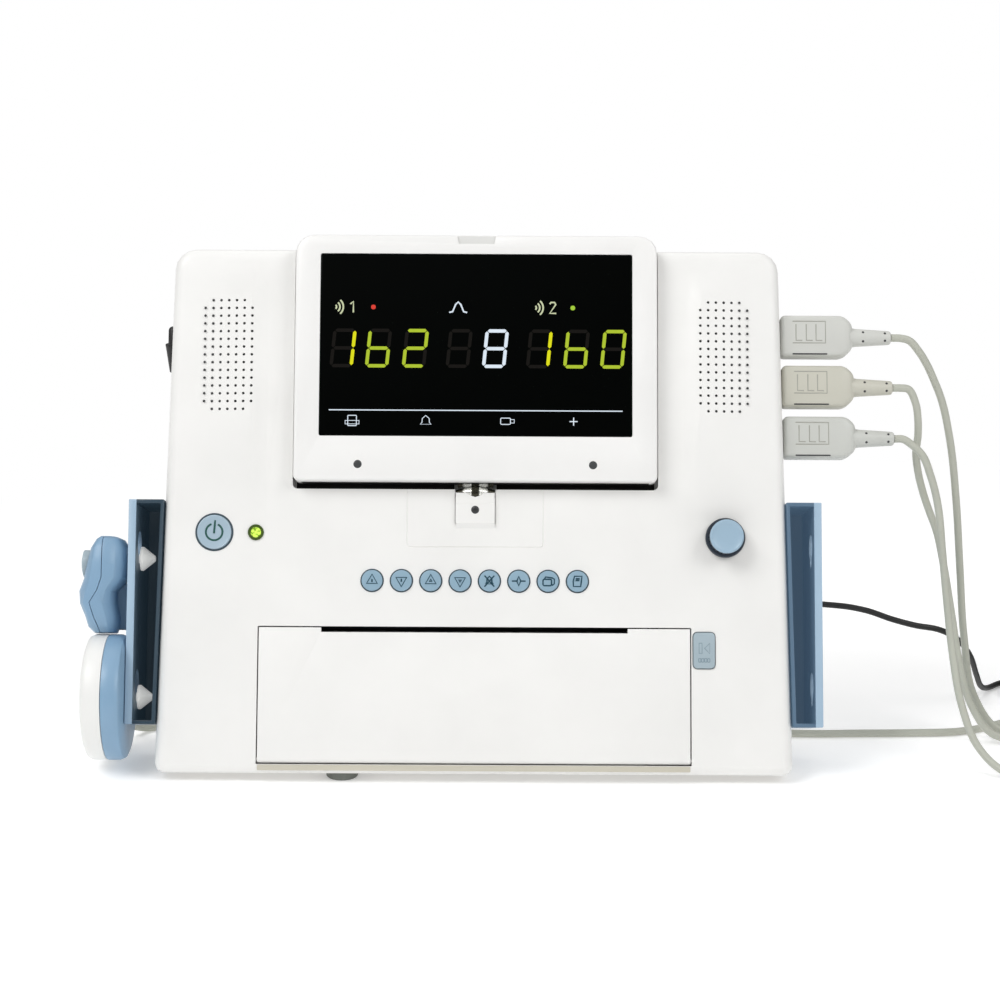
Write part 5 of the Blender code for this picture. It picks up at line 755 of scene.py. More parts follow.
def arc(radius, start, end, count, centre=(0.0, 0.0)):
    """Points on a circle from one angle to another, in degrees."""
    turns = [math.radians(start + (end - start) * k / (count - 1)) for k in range(count)]
    return [(centre[0] + radius * math.cos(t), centre[1] + radius * math.sin(t)) for t in turns]


def rounded(width, height, corner, centre=(0.0, 0.0)):
    """The outline of a rectangle with round corners."""
    x, y = width / 2.0 - corner, height / 2.0 - corner
    outline = []
    for sx, sy, start in ((1, 1, 0), (-1, 1, 90), (-1, -1, 180), (1, -1, 270)):
        middle = (centre[0] + sx * x, centre[1] + sy * y)
        outline += arc(corner, start, start + 90, 5, middle)
    return outline


def cut(made, cutter):
    """Cuts one mesh out of another and removes the cutter."""
    only(made)
    change = made.modifiers.new("cut", "BOOLEAN")
    change.operation = "DIFFERENCE"
    change.solver = "EXACT"
    change.object = cutter
    bpy.ops.object.modifier_apply(modifier=change.name)
    bpy.data.objects.remove(cutter)


def joined(pieces):
    """Several meshes joined into the first."""
    only(pieces[0])
    for piece in pieces[1:]:
        piece.select_set(True)
    bpy.ops.object.join()
    return bpy.context.object


def repeated(pattern, places):
    """Copies of one mesh at several places, joined, with the pattern itself removed."""
    copies = [moved(added(pattern.name, pattern.data.copy()), place) for place in places]
    bpy.data.objects.remove(pattern)
    return joined(copies)


def copied(node):
    """A copy of a frame node's own mesh, with its doubles merged and its flat faces whole."""
    made = added(node, nodes[node].data.copy())
    only(made)
    bpy.ops.mesh.customdata_custom_splitnormals_clear()
    bpy.ops.object.mode_set(mode="EDIT")
    bpy.ops.mesh.select_all(action="SELECT")
    bpy.ops.mesh.remove_doubles(threshold=0.000002)
    bpy.ops.mesh.dissolve_limited(angle_limit=math.radians(0.5))
    bpy.ops.object.mode_set(mode="OBJECT")
    return made


# Carried-over shapes whose edges get a small round: node, edge, finish, body
SOFT_NODES = (
    ("paper_door", 0.0004, "casing", "door"),
    ("display_back", 0.0005, "casing", "display"),
    ("display_bezel", 0.0005, "bezel", "display"),
    ("display_window", 0.0003, "window", "display"),
    ("base_plate", 0.0004, "lower", "console"),
    ("cradle_left", 0.0011, "cradle", "console"),
    # the right cradle takes the lighter copy of the blues: painted light
    ("cradle_right", 0.0011, "cradle_painted_light", "console"),
    ("marker_front", 0.0004, "probe_blue", "marker"),
    ("marker_rear", 0.0004, "hung", "marker"),
    ("marker_button", 0.0003, "release", "marker_push"),
    ("door_release", 0.0004, "release", "release"),
    ("supply_adapter", 0.0004, "black", "console"),
    ("probe_shell", 0.0004, "hung", "probe"),
    ("probe_face", 0.0004, "probe_white", "probe"),
    ("spare_probe_1", 0.0004, "probe_blue", "console"),
    ("spare_probe_2", 0.0004, "probe_blue", "console"),
)


def pins_in_metal(made):
    """Gives the plug-top supply's two pins their metal."""
    made.data.materials.append(FINISHES["steel"])
    for face in made.data.polygons:
        if face.center.x > ADAPTER_PINS_X:
            face.material_index = 1


def supply_plug():
    """The angled supply plug: a rounded head and a tapered relief down to its lead."""
    head = moved(block(PLUG_HEAD, 0.0022, 4), on_face(PLUG_U, PLUG_V, PLUG_W))
    down = Vector(WAY_SUPPLY).normalized()
    turn = Vector((0.0, 0.0, 1.0)).rotation_difference(-down).to_matrix().to_4x4()
    relief = moved(turned(PLUG_RELIEF, 32), Matrix.Translation(STAND + Vector(START_SUPPLY)) @ turn)
    node = "supply_plug"
    settled(joined([head, relief]), f"{node}_moulded", AS_MADE, "black", "console", (node,))


def rear_details():
    """The battery lid's hairline and latch, the vents and the screws in the rear wall."""
    back = on_face(0.0, 0.0, REAR_W) @ Matrix.Rotation(math.pi, 4, "Y")
    # painted shade: a grey line where the lid's hairline gap lies in shade
    lid = drawn([rounded(LID_WIDTH, LID_HEIGHT, LID_CORNER, (0.0, LID_V))], LID_LINE, FINE, True)
    settled(lid, "battery_lid_line", back, "groove_shade", "console")
    latch = [block(LATCH, 0.0004)]
    for k in range(RIBS):
        latch.append(moved(block(RIB, 0.0002, 2), at(0.0, (k - RIBS // 2) * RIB_PITCH, RIB_W)))
    settled(joined(latch), "battery_latch", back @ at(0.0, LATCH_V), "bezel", "console")
    slots = range(VENTS)
    places = [at(side * VENT_U + (k - VENTS // 2) * VENT_PITCH, VENT_V) for side in (-1, 1) for k in slots]
    # painted shade: dark blocks in the vent slots
    vents = repeated(block(VENT, 0.00005, 1), places)
    settled(vents, "rear_vents", back, "dark", "console")
    for name, u, v in REAR_SCREWS:
        screw(f"rear_screw_{name}", back @ at(u, v), REAR_SCREW_RADIUS, "steel", "console")


def soft_nodes():
    """The carried-over shapes, with their small edge rounds."""
    for node, edge, finish, body in SOFT_NODES:
        made = bevelled(copied(node), edge, 2, SOFT_ANGLE, "MITER_ARC")
        settled(made, f"{node}_soft", AS_MADE, finish, body, (node,))
        if node == "supply_adapter":
            pins_in_metal(made)


def grille_places():
    """The sound holes of both raised columns: a full grid whose first and last rows are shorter."""
    places = []
    for side in (-1.0, 1.0):
        for row in range(GRILLE_ROWS):
            short = row in (0, GRILLE_ROWS - 1)
            for column in range(GRILLE_COLUMNS):
                if short and column in (0, GRILLE_COLUMNS - 1):
                    continue
                u = side * GRILLE_U + (column - (GRILLE_COLUMNS - 1) / 2.0) * GRILLE_PITCH
                places.append((u, GRILLE_V + (row - (GRILLE_ROWS - 1) / 2.0) * GRILLE_PITCH))
    return places


def housing():
    """The front housing with its sound holes and the hairline round the hinge panel cut in, and dark discs of
    painted shade inside the holes.
    """
    made = copied("front_housing")
    hole = turned([(GRILLE_HOLE, COLUMN_RISE - GRILLE_DEPTH), (GRILLE_HOLE, COLUMN_RISE + HAIRLINE)], 10)
    cut(made, repeated(hole, [on_face(u, v) for u, v in grille_places()]))
    corner = PANEL_CORNER
    path = [(-PANEL_HALF, PANEL_HIGH)]
    path += arc(corner, 180, 270, 5, (-PANEL_HALF + corner, PANEL_LOW + corner))
    path += arc(corner, 270, 360, 5, (PANEL_HALF - corner, PANEL_LOW + corner))
    path.append((PANEL_HALF, PANEL_HIGH))
    cut(made, moved(drawn([path], HAIRLINE, HAIRLINE / 2.0), FACE))
    node = "front_housing"
    settled(made, f"{node}_finished", AS_MADE, "casing", "console", (node,))
    # painted shade: dark discs at the bottom of each sound hole
    dot = turned([(GRILLE_HOLE * 0.97, 0.0), (GRILLE_HOLE * 0.8, FINE)], 8)
    low = COLUMN_RISE - GRILLE_DEPTH + FINE
    hole_shade = repeated(dot, [on_face(u, v, low) for u, v in grille_places()])
    settled(hole_shade, "sound_hole_shade", AS_MADE, "dark", "console")


# Display

DIGIT_LOW = 0.1897
DIGIT_WIDTH = 0.0094
DIGIT_HEIGHT = 0.0168
DIGIT_BAR = 0.0016
LABEL_V, LABEL_LINE = 0.2184, 0.00075
FOOT_V, FOOT_LINE, FOOT_SIGN = 0.1646, 0.0004, 1.35
RULE_LENGTH, RULE_V = 0.1374, 0.1696
MARK_SIZE, RED_MARK_U, GREEN_MARK_U = 0.0022, -0.0483, 0.0453
DIGIT_SLANT = math.tan(math.radians(5.5))
DIGIT_GAP = 0.00022
DIGIT_PLACES = {
    # where each digit starts, with its lit bars and its finish
    -0.0687: ("bc", "screen_yellow"),
    -0.0521: ("cdefg", "screen_green"),
    -0.0348: ("abdeg", "screen_green"),
    -0.0143: ("", "screen_green"),
    0.0027: ("abcdefg", "screen_white"),
    0.0233: ("bc", "screen_yellow"),
    0.0407: ("cdefg", "screen_green"),
    0.0580: ("abcdef", "screen_green"),
}
BARS = {
    # the two ends of each bar, in digit widths and half heights
    "a": ((0, 2), (1, 2)),
    "b": ((1, 1), (1, 2)),
    "c": ((1, 0), (1, 1)),
    "d": ((0, 0), (1, 0)),
    "e": ((0, 0), (0, 1)),
    "f": ((0, 1), (0, 2)),
    "g": ((0, 1), (1, 1)),
}


def bar_outline(name, start):
    """The six-sided outline of one bar of a leaning digit."""
    ends = [Vector((x * DIGIT_WIDTH, y * DIGIT_HEIGHT / 2.0)) for x, y in BARS[name]]
    way = (ends[1] - ends[0]).normalized()
    side = Vector((-way.y, way.x)) * DIGIT_BAR / 2.0
    tip = way * DIGIT_BAR / 2.0
    first, last = ends[0] + way * DIGIT_GAP, ends[1] - way * DIGIT_GAP
    outline = [first, first + tip + side, last - tip + side, last, last - tip - side, first + tip - side]
    half = DIGIT_BAR / 2.0
    return [(start + half + p.x + (p.y + half) * DIGIT_SLANT, DIGIT_LOW + half + p.y) for p in outline]


def screen():
    """What the panel shows: three groups of numbers, their marks, a line and small signs."""
    groups = {"screen_green": [], "screen_yellow": [], "screen_white": [], "screen_unlit": []}
    for start, (lit, finish) in DIGIT_PLACES.items():
        for name in BARS:
            groups[finish if name in lit else "screen_unlit"].append(bar_outline(name, start))
    groups["screen_white"].append(rounded(RULE_LENGTH, 0.0005, 0.0002, (0.0, RULE_V)))
    for finish, u in (("screen_red", RED_MARK_U), ("screen_mark_green", GREEN_MARK_U)):
        groups[finish] = [rounded(MARK_SIZE, MARK_SIZE, 0.0010, (u, LABEL_V))]
    for finish, outlines in groups.items():
        made = filled(outlines, FINE)
        settled(made, finish, on_face(0.0, 0.0, WINDOW_W + FINE), finish, "display")
    screen_signs()


def screen_signs():
    """Small signs over the numbers and along the panel's foot, as fine lit lines."""
    waves = [arc(r, -48, 48, 9, (-0.0055, 0.0)) for r in (0.0012, 0.0028, 0.0044)]
    one = [tenths((22, 14), (36, 26), (36, -26))]
    two = [tenths((20, 18), (26, 26), (42, 26), (48, 16), (20, -26), (50, -26))]
    hill = [tenths((-42, -24), (-26, -20), (-12, 14), (0, 26), (12, 14), (26, -20), (42, -24))]
    sheet = [rounded(0.0030, 0.0036, 0.0003), tenths((-24, 0), (-24, -12), (24, -12), (24, 0))]
    bell = [tenths((-19, -12), (-13, -6), (-12, 8), (0, 19), (12, 8), (13, -6), (19, -12))]
    plug = [rounded(0.0034, 0.0022, 0.0004), tenths((17, 6), (30, 6), (30, -6), (17, -6))]
    plus = [tenths((-14, 0), (14, 0)), tenths((0, -14), (0, 14))]
    signs = (
        ("sign_channel_1", -0.0613, LABEL_V, waves + one, False, LABEL_LINE, "screen_label"),
        ("sign_hill", -0.0085, LABEL_V, hill, False, LABEL_LINE, "screen_white"),
        ("sign_channel_2", 0.0325, LABEL_V, waves + two, False, LABEL_LINE, "screen_label"),
        ("sign_sheet", -0.0577, FOOT_V, sheet, True, FOOT_LINE, "screen_white"),
        ("sign_bell", -0.0233, FOOT_V, bell, True, FOOT_LINE, "screen_white"),
        ("sign_plug", 0.0140, FOOT_V, plug, True, FOOT_LINE, "screen_white"),
        ("sign_plus", 0.0458, FOOT_V, plus, False, 0.0005, "screen_white"),
    )
    for name, u, v, paths, closed, width, finish in signs:
        if v < DIGIT_LOW:
            paths = [[(x * FOOT_SIGN, y * FOOT_SIGN) for x, y in path] for path in paths]
        made = drawn(paths, width, FINE, closed)
        settled(made, name, on_face(u, v, WINDOW_W + FINE), finish, "display")


def display_gap():
    """The painted shade round the display: a dark sheet on its pocket's floor and a dark skirt under its
    case.
    """
    shade_pad = filled([rounded(SHADE_PAD_WIDTH, SHADE_PAD_HEIGHT, SHADE_PAD_CORNER, (0.0, SHADE_PAD_V))], FINE * 2.0)
    cut(shade_pad, moved(block(WELL, 0.0001, 1), at(0.0, WELL_V)))
    place = on_face(0.0, 0.0, POCKET_W + FINE * 2.0)
    settled(shade_pad, "pocket_shade", place, "display_gap_shade", "console")
    skirt = block(SHADE_SKIRT, 0.00005, 1)
    settled(skirt, "case_underside_shade", on_face(0.0, SHADE_SKIRT_V, SHADE_SKIRT_W), "display_gap_shade", "display")


def bezel_dots():
    """The two dark light windows in the bezel's lower bar."""
    for name, u in (("bezel_dot_left", -BEZEL_DOT_U), ("bezel_dot_right", BEZEL_DOT_U)):
        made = turned([(0.00195, -0.0002), (0.00195, 0.0), (0.0017, 0.0001), (0.0008, 0.00018)], 32)
        settled(made, name, on_face(u, BEZEL_DOT_V, CASE_W), "smoke", "display")


# Controls


def screw(name, place, radius, finish, body):
    """A small domed screw head with a cross recess."""
    dome = ((1.0, -0.3), (1.0, 0.0), (0.8, 0.16), (0.4, 0.24))
    head = turned([(radius * x, radius * z) for x, z in dome], 24)
    for turn in (0.0, math.pi / 2.0):
        slit = block((radius * 1.2, radius * 0.26, radius * 0.5), radius * 0.05, 1)
        cut(head, moved(slit, at(0.0, 0.0, radius * 0.3) @ Matrix.Rotation(turn, 4, "Z")))
    return settled(head, name, place, finish, body)


def spindle(radius, tip, half, grow=0.0):
    """The profile of a barrel that is thickest in its middle."""
    profile = []
    for k in range(13):
        share = k / 6.0 - 1.0
        profile.append((tip + (radius - tip) * (1.0 - abs(share) ** 1.3) + grow, half * share))
    return profile


def hinge():
    """The chrome barrel, thickest in its middle, its saddle, and the neck's collar, foot and screw."""
    radius, tip, half = BARREL_RADIUS, BARREL_TIP, BARREL_HALF
    place = on_face(0.0, HINGE_V, HINGE_W) @ ALONG_X
    profile = [(tip * 0.5, -half), *spindle(radius, tip, half), (tip * 0.5, half)]
    barrel = turned(profile, 64)
    settled(barrel, "hinge_barrel_turned", place, "chrome", "display", ("hinge_barrel",))
    middle = at(0.0, HINGE_V - COLLAR_DROP, NECK_W + 0.0001 - COLLAR[2] / 2.0)
    collar = moved(block(COLLAR, 0.0001, 1), middle)
    room = turned(spindle(radius, tip, half + 0.0003, GAP), 64)
    cut(collar, moved(room, at(0.0, HINGE_V, HINGE_W) @ ALONG_X))
    settled(collar, "neck_collar", FACE, "casing", "console")
    place = on_face(0.0, HINGE_V + SADDLE_RISE, HINGE_W - SADDLE_DEPTH)
    settled(block(SADDLE, 0.0002, 1), "hinge_saddle", place, "chrome", "display")
    wedge = [(-0.0022, -0.0008), (0.0002, -0.0008), (0.0002, NECK_W), (0.0, NECK_W), (-0.0022, 0.0)]
    sideways = Matrix(((0.0, 0.0, 1.0), (1.0, 0.0, 0.0), (0.0, 1.0, 0.0))).to_4x4()
    place = on_face(0.0, NECK_FOOT_V) @ sideways
    settled(filled([wedge], COLLAR[0]), "neck_foot", place, "casing", "console")
    screw("neck_screw", on_face(0.0, NECK_SCREW_V, NECK_W), NECK_SCREW_RADIUS, "dark", "console")


def power_switch():
    """The power button's dished face with its sign, a dark ring of painted shade in the gap round it, and the
    green lamp beside it.
    """
    r = POWER_RADIUS
    profile = [(r, -0.0030), (r, 0.0008), (r * 0.97, 0.0012), (r * 0.93, 0.0013)]
    made = turned([*profile, (r * 0.85, 0.0011), (r * 0.3, 0.0009)], 64)
    place = on_face(POWER_U, POWER_V)
    settled(made, "power_button_face", place, "power", "power", ("power_button",))
    # painted shade: a dark ring where the gap round the button lies in shade
    button_gap_shade = ring(r + 0.0009, r + 0.0002, -0.0002, FINE * 2.0)
    settled(button_gap_shade, "power_gap_shade", place, "button_gap_shade", "console")
    sign = [arc(0.0039, 110, 424, 33), [(-0.00005, -0.0006), (0.0004, 0.0055)]]
    made = drawn(sign, 0.00095, 0.00030)
    settled(made, "power_sign", on_face(POWER_U, POWER_V, 0.00096), "power_icon", "power")
    r = LIGHT_RADIUS * 0.70
    lens = turned([(r, -0.0002), (r, 0.0003), (r * 0.85, 0.0006), (r * 0.4, 0.00072)], 40)
    settled(lens, "power_lens", on_face(LIGHT_U, POWER_V), "lamp", "console", ("power_light",))
    rim = ring(LIGHT_RADIUS * 1.06, r + FINE, -0.0002, 0.0005, 40)
    settled(rim, "power_lens_rim", on_face(LIGHT_U, POWER_V), "lamp_rim", "console")


def triangle(size, up):
    """An upright or hanging triangle."""
    turn = 90 if up else 270
    return [arc(size, turn + 120 * k, turn + 120 * k, 2)[0] for k in range(3)]


def key_signs():
    """The signs of the eight keys, as fine lines: for each, its closed paths and its open ones."""
    big, small = 0.0029, 0.0007
    bell = tenths((-18, -14), (-12, -6), (-11, 10), (0, 22), (11, 10), (12, -6), (18, -14))
    strokes = [tenths((-23, 25), (23, -27)), tenths((-23, -27), (23, 25))]
    diamond = tenths((0, 22), (9, 0), (0, -22), (-9, 0))
    beats = [tenths((-32, 0), (-9, 0)), tenths((9, 0), (32, 0))]
    folder = rounded(0.0040, 0.0030, 0.0007, (-0.0004, -0.0006))
    flap = [tenths((-16, 12), (-12, 20), (18, 16), (29, 10), (29, -12), (18, -20))]
    sheet = tenths((-19, -24), (15, -24), (18, 0), (21, 24), (-14, 24), (-20, 0))
    lines = [tenths((-8, 12), (10, 12)), tenths((-9, 4), (9, 4))]
    return (
        ([triangle(big, True)], [tenths((0, -8), (0, 6))]),
        ([triangle(big, False)], [tenths((0, -6), (0, 8))]),
        ([triangle(big, True), triangle(small, True)], []),
        ([triangle(big, False), triangle(small, False)], []),
        ([bell], strokes),
        ([diamond], beats),
        ([folder], flap),
        ([sheet], lines),
    )


def keys():
    """Eight keys with soft edges and dished tops, modelled once, each with its own sign."""
    r = KEY_RADIUS
    for n, (loops, strokes) in enumerate(key_signs()):
        u = (n - 3.5) * KEY_PITCH
        place = on_face(u, KEY_V)
        profile = [(r, -0.0020), (r, KEY_RISE - 0.0004), (r * 0.95, KEY_RISE - 0.0001), (r * 0.88, KEY_RISE)]
        made = turned([*profile, (r * 0.3, KEY_RISE - 0.00012)])
        node = f"key_{n + 1}"
        settled(made, f"{node}_cap", place, "key", f"button_{n + 1}", (node,))
        made = drawn(loops, KEY_LINE, 0.00016, True)
        if strokes:
            made = joined([made, drawn(strokes, KEY_LINE, 0.00016)])
        # painted shade: a dark ring in the gap round each key
        edge = ring(r + 0.0006, r + 0.0002, -0.0002, FINE, 48)
        settled(edge, f"{node}_seat", place, "button_gap_shade", "console")
        place = on_face(u, KEY_V, KEY_RISE - 0.00006)
        settled(made, f"{node}_sign", place, "icon", f"button_{n + 1}")


def knob():
    """The rotary knob: a navy skirt, a grooved grip and a dished light-blue cap."""
    r, skirt, top = KNOB_RADIUS, KNOB_SKIRT, KNOB_RISE
    place = on_face(KNOB_U, KNOB_V)
    profile = [(skirt - 0.0003, 0.0004), (skirt, 0.0007), (skirt, 0.0022), (skirt - 0.0005, 0.0028)]
    made = turned([*profile, (r, 0.0030), (r * 0.5, 0.0030)], 64)
    settled(made, "knob_skirt", place, "navy", "dial", ("knob",))
    grip = turned([(r, 0.0028), (r, top - 0.0014), (r - 0.0004, top - 0.0009), (r * 0.5, top - 0.0009)], 64)
    flute = turned([(FLUTE_RADIUS, 0.0032), (FLUTE_RADIUS, top)], 8)
    turns = [2.0 * math.pi * k / FLUTES for k in range(FLUTES)]
    reach = r + FLUTE_OUT
    cut(grip, repeated(flute, [at(math.cos(t) * reach, math.sin(t) * reach) for t in turns]))
    settled(grip, "knob_grip", place, "navy", "dial")
    profile = [(r, top - 0.0013), (r, top - 0.0006), (r - 0.0004, top - 0.0001), (r - 0.0009, top)]
    dish = [(r - 0.0014, top - 0.0003), (r * 0.55, top - 0.0006), (r * 0.2, top - 0.0007)]
    cap = turned([*profile, *dish], 64)
    settled(cap, "knob_cap", place, "cap", "dial")


def release_sign():
    """The embossed drawer sign on the door release, with a row of short bars under it."""
    loops = [tenths((-24, -14), (-10, -14), (-10, 34), (-24, 34)), tenths((2, 10), (26, -16), (26, 34))]
    loops += [rounded(0.0011, 0.0016, 0.0003, (-0.0021 + 0.0014 * k, -0.0046)) for k in range(4)]
    made = drawn(loops, 0.00042, 0.00012, True)
    place = on_face(RELEASE_SIGN_U, RELEASE_SIGN_V, RELEASE_SIGN_W)
    settled(made, "release_sign", place, "emboss", "release")


def connector_body():
    """One lead connector along X: nose, body with a tapered shoulder, and round strain relief."""
    made = box((CONNECTOR_LENGTH, CONNECTOR_HEIGHT, CONNECTOR_DEPTH))
    bpy.ops.object.mode_set(mode="EDIT")
    bpy.ops.mesh.select_mode(type="FACE")
    bpy.ops.mesh.select_all(action="DESELECT")
    bpy.ops.object.mode_set(mode="OBJECT")
    for face in made.data.polygons:
        face.select = face.normal.x > 0.5
    bpy.ops.object.mode_set(mode="EDIT")
    bpy.ops.mesh.extrude_region_move(TRANSFORM_OT_translate={"value": (SHOULDER_LENGTH, 0.0, 0.0)})
    end = CONNECTOR_LENGTH / 2.0 + SHOULDER_LENGTH
    bpy.ops.transform.resize(value=SHOULDER_SHARES, center_override=(end, 0.0, 0.0))
    bpy.ops.mesh.select_mode(type="VERT")
    bpy.ops.object.mode_set(mode="OBJECT")
    moved(bevelled(made, 0.0022, 4, 20.0), at(CONNECTOR_LENGTH / 2.0))
    r, long = RELIEF_RADIUS, RELIEF_LENGTH
    profile = [(r * 1.25, -0.0015), (r * 1.05, 0.0005), (r, 0.0016), (RELIEF_TIP * 1.08, long - 0.0012)]
    relief = turned([*profile, (RELIEF_TIP, long - 0.0004), (RELIEF_TIP - 0.0006, long), (0.0019, long)], 40)
    moved(relief, at(CONNECTOR_LENGTH + SHOULDER_LENGTH) @ ALONG_X)
    return joined([made, relief, moved(block(NOSE, 0.0008, 2), at(NOSE_X))])


def connectors():
    """The three lead connectors with their grip marks, slits and relief dots; the marks' grey and the slits'
    and dots' dark are painted shade.
    """
    front = at(0.0, 0.0, CONNECTOR_W - CONNECTOR_CENTRE_W)
    finishes = ("plug", "plug_warm", "plug_cool")
    for node, v, finish in zip(("connector_a", "connector_b", "connector_c"), CONNECTOR_VS, finishes):
        start = half_width(v - CONNECTOR_HEIGHT / 2.0) + CONNECTOR_GAP
        place = on_face(start, v, CONNECTOR_CENTRE_W)
        settled(connector_body(), f"{node}_moulded", place, finish, "console", (node,))
        # painted shade: grey raised lines where the grip's grooves lie in shade
        lines = [tenths((56, 68), (212, 68), (212, -36), (56, -36))]
        lines += [[(x, 0.0054), (x, -0.0024), (x + 0.0030, -0.0024)] for x in GRIP_MARKS]
        made = drawn(lines, 0.00055, 0.00016)
        settled(made, f"{node}_marks", place @ front, "groove_shade", "console")
        # painted shade: a dark block in the slit
        slit = moved(block(GRIP_SLIT, 0.00015, 2), at(GRIP_SLIT_X, GRIP_SLIT_V, -0.00055))
        settled(slit, f"{node}_slit", place @ front, "dark", "console")
        # painted shade: dark dots in the relief's holes
        dot = turned([(0.00060, -0.0004), (0.00060, 0.0), (0.0003, 0.0001)], 16)
        dots = []
        for along, across, rise in RELIEF_DOTS:
            for side in (-1.0, 1.0):
                turn = Matrix.Rotation(-side * math.atan2(across, rise), 4, "X")
                dots.append(at(along, side * across, rise) @ turn)
        settled(repeated(dot, dots), f"{node}_holes", place, "dark", "console")


def bezel_tab():
    """The finger tab in the bezel's upper edge: a grey sheet in its recess, painted shade."""
    half, slant, low, high = 0.0096, 0.0013, 0.2489, 0.2526
    made = filled([[(-half + slant, low), (half - slant, low), (half, high), (-half, high)]], FINE * 2.0)
    place = on_face(0.0, 0.0, CASE_W - TAB_DEPTH + FINE)
    settled(made, "bezel_tab", place, "tab_shade", "display")


def door_lip():
    """A darker beige strip, laid flat on the face under the paper door."""
    made = filled([rounded(LIP_WIDTH, LIP_HEIGHT, LIP_CORNER, (0.0, LIP_V))], FINE * 2.0)
    settled(made, "drawer_lip", on_face(0.0, 0.0, FINE), "lip", "console")


# Free leads


def smoothstep(value, low, high):
    """0 below low, 1 above high and a smooth rise between."""
    share = min(1.0, max(0.0, (value - low) / (high - low)))
    return share * share * (3.0 - 2.0 * share)


def coil_way(start_angle, turn, hand):
    """A coil's direction of travel after some turns."""
    angle = start_angle + hand * 2.0 * math.pi * turn
    return Vector((-math.sin(angle), math.cos(angle), 0.0)) * hand


def coil_line(centre, diameter, turns, start_angle, hand):
    """A flat coil in two layers: inwards on the table, up where the spiral turns, and out again."""
    pitch = diameter + COIL_PITCH_GAP
    outer = diameter * COIL_ACROSS_SHARE / 2.0 + pitch * turns / 4.0
    count = round(turns * COIL_LOOP_POINTS)
    half = turns / 2.0
    points = []
    for k in range(count + 1):
        turn = turns * k / count
        radius = outer - pitch * min(turn, turns - turn)
        climb = smoothstep(turn, half - COIL_CLIMB_TURNS, half + COIL_CLIMB_TURNS)
        angle = start_angle + hand * 2.0 * math.pi * turn
        x, y = centre[0] + radius * math.cos(angle), centre[1] + radius * math.sin(angle)
        points.append(Vector((x, y, diameter / 2.0 + pitch * climb)))
    reach = diameter * COIL_END_SHARE
    first, last = coil_way(start_angle, 0.0, hand), coil_way(start_angle, turns, hand)
    return [points[0] - first * reach, *points, points[-1] + last * reach]


def with_tail(line, tail, end, way, diameter):
    """A coil's line, led on from its last point to the gland at its end."""
    start = line[-2]
    rise = [Vector((start.x + x, start.y + y, z)) for x, y, z in tail]
    return line + rise + [end - way * (GAP + diameter), end - way * GAP]


def between(first, first_way, route, last, last_way, diameter):
    """A listed stretch with straight ends one diameter long."""
    start, end = first + first_way * GAP, last - last_way * GAP
    inner = [start + first_way * diameter, *[Vector(p) for p in route], end - last_way * diameter]
    return [start, *inner, end]


def lead(name, points, first_way, last_way, diameter, finish):
    """A lead along its points: one smooth open curve, as thick as the real lead."""
    spans = [(b - a).length for a, b in zip(points, points[1:])]
    ways = [(b - a) / span for a, b, span in zip(points, points[1:], spans)]
    slopes = [first_way]
    for i in range(1, len(spans)):
        turned_way = ways[i - 1] * spans[i] + ways[i] * spans[i - 1]
        slopes.append(turned_way / (spans[i - 1] + spans[i]))
    slopes.append(last_way)
    line = bpy.data.curves.new(name, "CURVE")
    line.dimensions = "3D"
    line.resolution_u = 6
    line.render_resolution_u = 6
    line.bevel_depth = diameter / 2.0
    line.bevel_resolution = 4
    line.use_fill_caps = True
    spline = line.splines.new("BEZIER")
    spline.bezier_points.add(len(points) - 1)
    for i, (spot, point) in enumerate(zip(spline.bezier_points, points)):
        before = spans[i - 1] if i else spans[0]
        after = spans[i] if i < len(spans) else spans[-1]
        spot.handle_left_type = "FREE"
        spot.handle_right_type = "FREE"
        spot.co = point + STAND
        spot.handle_left = point + STAND - slopes[i] * before / 3.0
        spot.handle_right = point + STAND + slopes[i] * after / 3.0
    line.materials.append(finish)
    made = added(name, line)
    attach(made, "console")
    return made


def free_leads():
    """Three grey leads to the probes and the black supply lead."""
    right, up, down = Vector((1.0, 0.0, 0.0)), math.pi / 2.0, -math.pi / 2.0
    spare = Vector(WAY_SPARE).normalized()
    size = LEAD_DIAMETER
    coil_a = coil_line(COIL_A, size, COIL_TURNS_A, down, 1.0)
    back_way = Vector(WAY_END_A).normalized()
    way_a = coil_way(down, COIL_TURNS_A, 1.0)
    line_a = between(Vector(START_A), right, ROUTE_A, coil_a[0], right, size) + coil_a
    line_a += between(coil_a[-1], way_a, ROUTE_A_BACK, Vector(END_A), back_way, size)
    coil_b = with_tail(coil_line(COIL_B, size, COIL_TURNS, up, -1.0), TAIL_PROBE, Vector(END_B), spare, size)
    line_b = between(Vector(START_B), right, ROUTE_B, coil_b[0], right, size) + coil_b
    coil_c = with_tail(coil_line(COIL_C, size, COIL_TURNS, down, 1.0), TAIL_PROBE, Vector(END_C), spare, size)
    line_c = between(Vector(START_C), right, ROUTE_C, coil_c[0], right, size) + coil_c
    plans = (
        ("probe_lead_a", line_a, back_way, ("lead_a_out", "lead_a_coil", "lead_a_back")),
        ("probe_lead_b", line_b, spare, ("lead_b_out", "lead_b_coil")),
        ("probe_lead_c", line_c, spare, ("lead_c_out", "lead_c_coil")),
    )
    for name, line, last_way, solids in plans:
        made = lead(name, line, right, last_way, size, FINISHES["lead"])
        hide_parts(*solids)
    size, way = SUPPLY_DIAMETER, Vector(WAY_SUPPLY).normalized()
    coil = coil_line(COIL_D, size, COIL_TURNS, up, -1.0)
    coil = with_tail(coil, TAIL_SUPPLY, Vector(END_SUPPLY), right, size)
    line = between(Vector(START_SUPPLY), way, ROUTE_SUPPLY, coil[0], right, size) + coil
    made = lead("supply_lead", line, way, right, size, FINISHES["black"])
    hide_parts("supply_lead_out", "supply_lead_coil")


# Stage


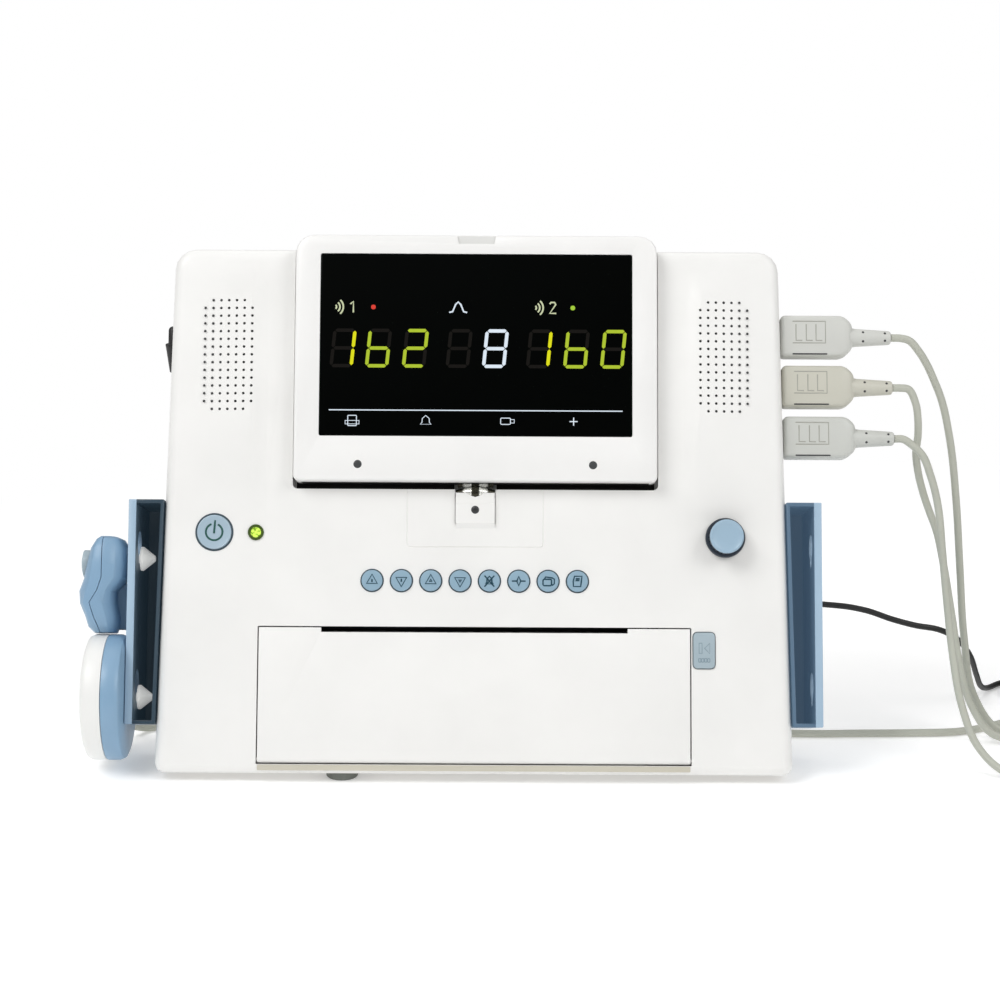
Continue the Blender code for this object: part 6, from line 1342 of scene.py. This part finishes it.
def floor():
    """A pale floor that keeps the object's soft shadow."""
    bpy.ops.object.select_all(action="DESELECT")
    bpy.ops.mesh.primitive_plane_add(size=FLOOR_SIZE, location=(0.0, 0.0, 0.0))
    made = bpy.context.object
    made.name = "floor"
    look, tree, shader, spots = new_material("floor_pale")
    soft = mixed(tree, noise(tree, spots, 0.4), FLOOR_COLOUR, shaded(FLOOR_COLOUR, 0.01))
    tree.links.new(soft, shader.inputs["Base Color"])
    shader.inputs["Roughness"].default_value = 0.9
    shader.inputs["Specular IOR Level"].default_value = 0.0
    shader.inputs["Emission Color"].default_value = (1.0, 1.0, 1.0, 1.0)
    shader.inputs["Emission Strength"].default_value = FLOOR_GLOW
    reach = tree.nodes.new("ShaderNodeVectorMath")
    reach.operation = "LENGTH"
    tree.links.new(spots, reach.inputs[0])
    share = ranged(tree, reach.outputs["Value"], 0.0, 1.0, FLOOR_NEAR, FLOOR_FAR)
    white = tree.nodes.new("ShaderNodeEmission")
    blend = tree.nodes.new("ShaderNodeMixShader")
    tree.links.new(share, blend.inputs["Fac"])
    tree.links.new(shader.outputs["BSDF"], blend.inputs[1])
    tree.links.new(white.outputs["Emission"], blend.inputs[2])
    tree.links.new(blend.outputs["Shader"], tree.nodes["Material Output"].inputs["Surface"])
    made.data.materials.append(look)


def sky():
    """Soft light from above, dimmer from low down, and plain white where the camera sees past the floor."""
    world = bpy.data.worlds.new("sky")
    bpy.context.scene.world = world
    world.use_nodes = True
    tree = world.node_tree
    background = tree.nodes["Background"]
    spots = tree.nodes.new("ShaderNodeTexCoord").outputs["Generated"]
    split = tree.nodes.new("ShaderNodeSeparateXYZ")
    tree.links.new(spots, split.inputs["Vector"])
    light = ranged(tree, split.outputs["Z"], SKY_FRONT, SKY_TOP, 0.35, 0.95)
    path = tree.nodes.new("ShaderNodeLightPath")
    strength = tree.nodes.new("ShaderNodeMix")
    tree.links.new(path.outputs["Is Camera Ray"], strength.inputs["Factor"])
    tree.links.new(light, strength.inputs["A"])
    strength.inputs["B"].default_value = 1.0
    tree.links.new(strength.outputs["Result"], background.inputs["Strength"])
    background.inputs["Color"].default_value = (1.0, 1.0, 1.0, 1.0)


def lamps():
    """Large soft lamps: the key in front on the left, a fill on the right and one from above behind."""
    for i, (place, size, power) in enumerate(LAMPS):
        data = bpy.data.lights.new(f"lamp_{i + 1}", "AREA")
        data.size = size
        data.energy = power
        made = added(data.name, data)
        made.location = place
        made.rotation_euler = (LAMP_TARGET - place).to_track_quat("-Z", "Y").to_euler()


camera()
free_leads()
finish_nodes()
soft_nodes()
supply_plug()
rear_details()
housing()
screen()
display_gap()
bezel_dots()
hinge()
power_switch()
keys()
knob()
release_sign()
connectors()
bezel_tab()
door_lip()
floor()
sky()
lamps()
bpy.context.scene.view_settings.view_transform = "Standard"
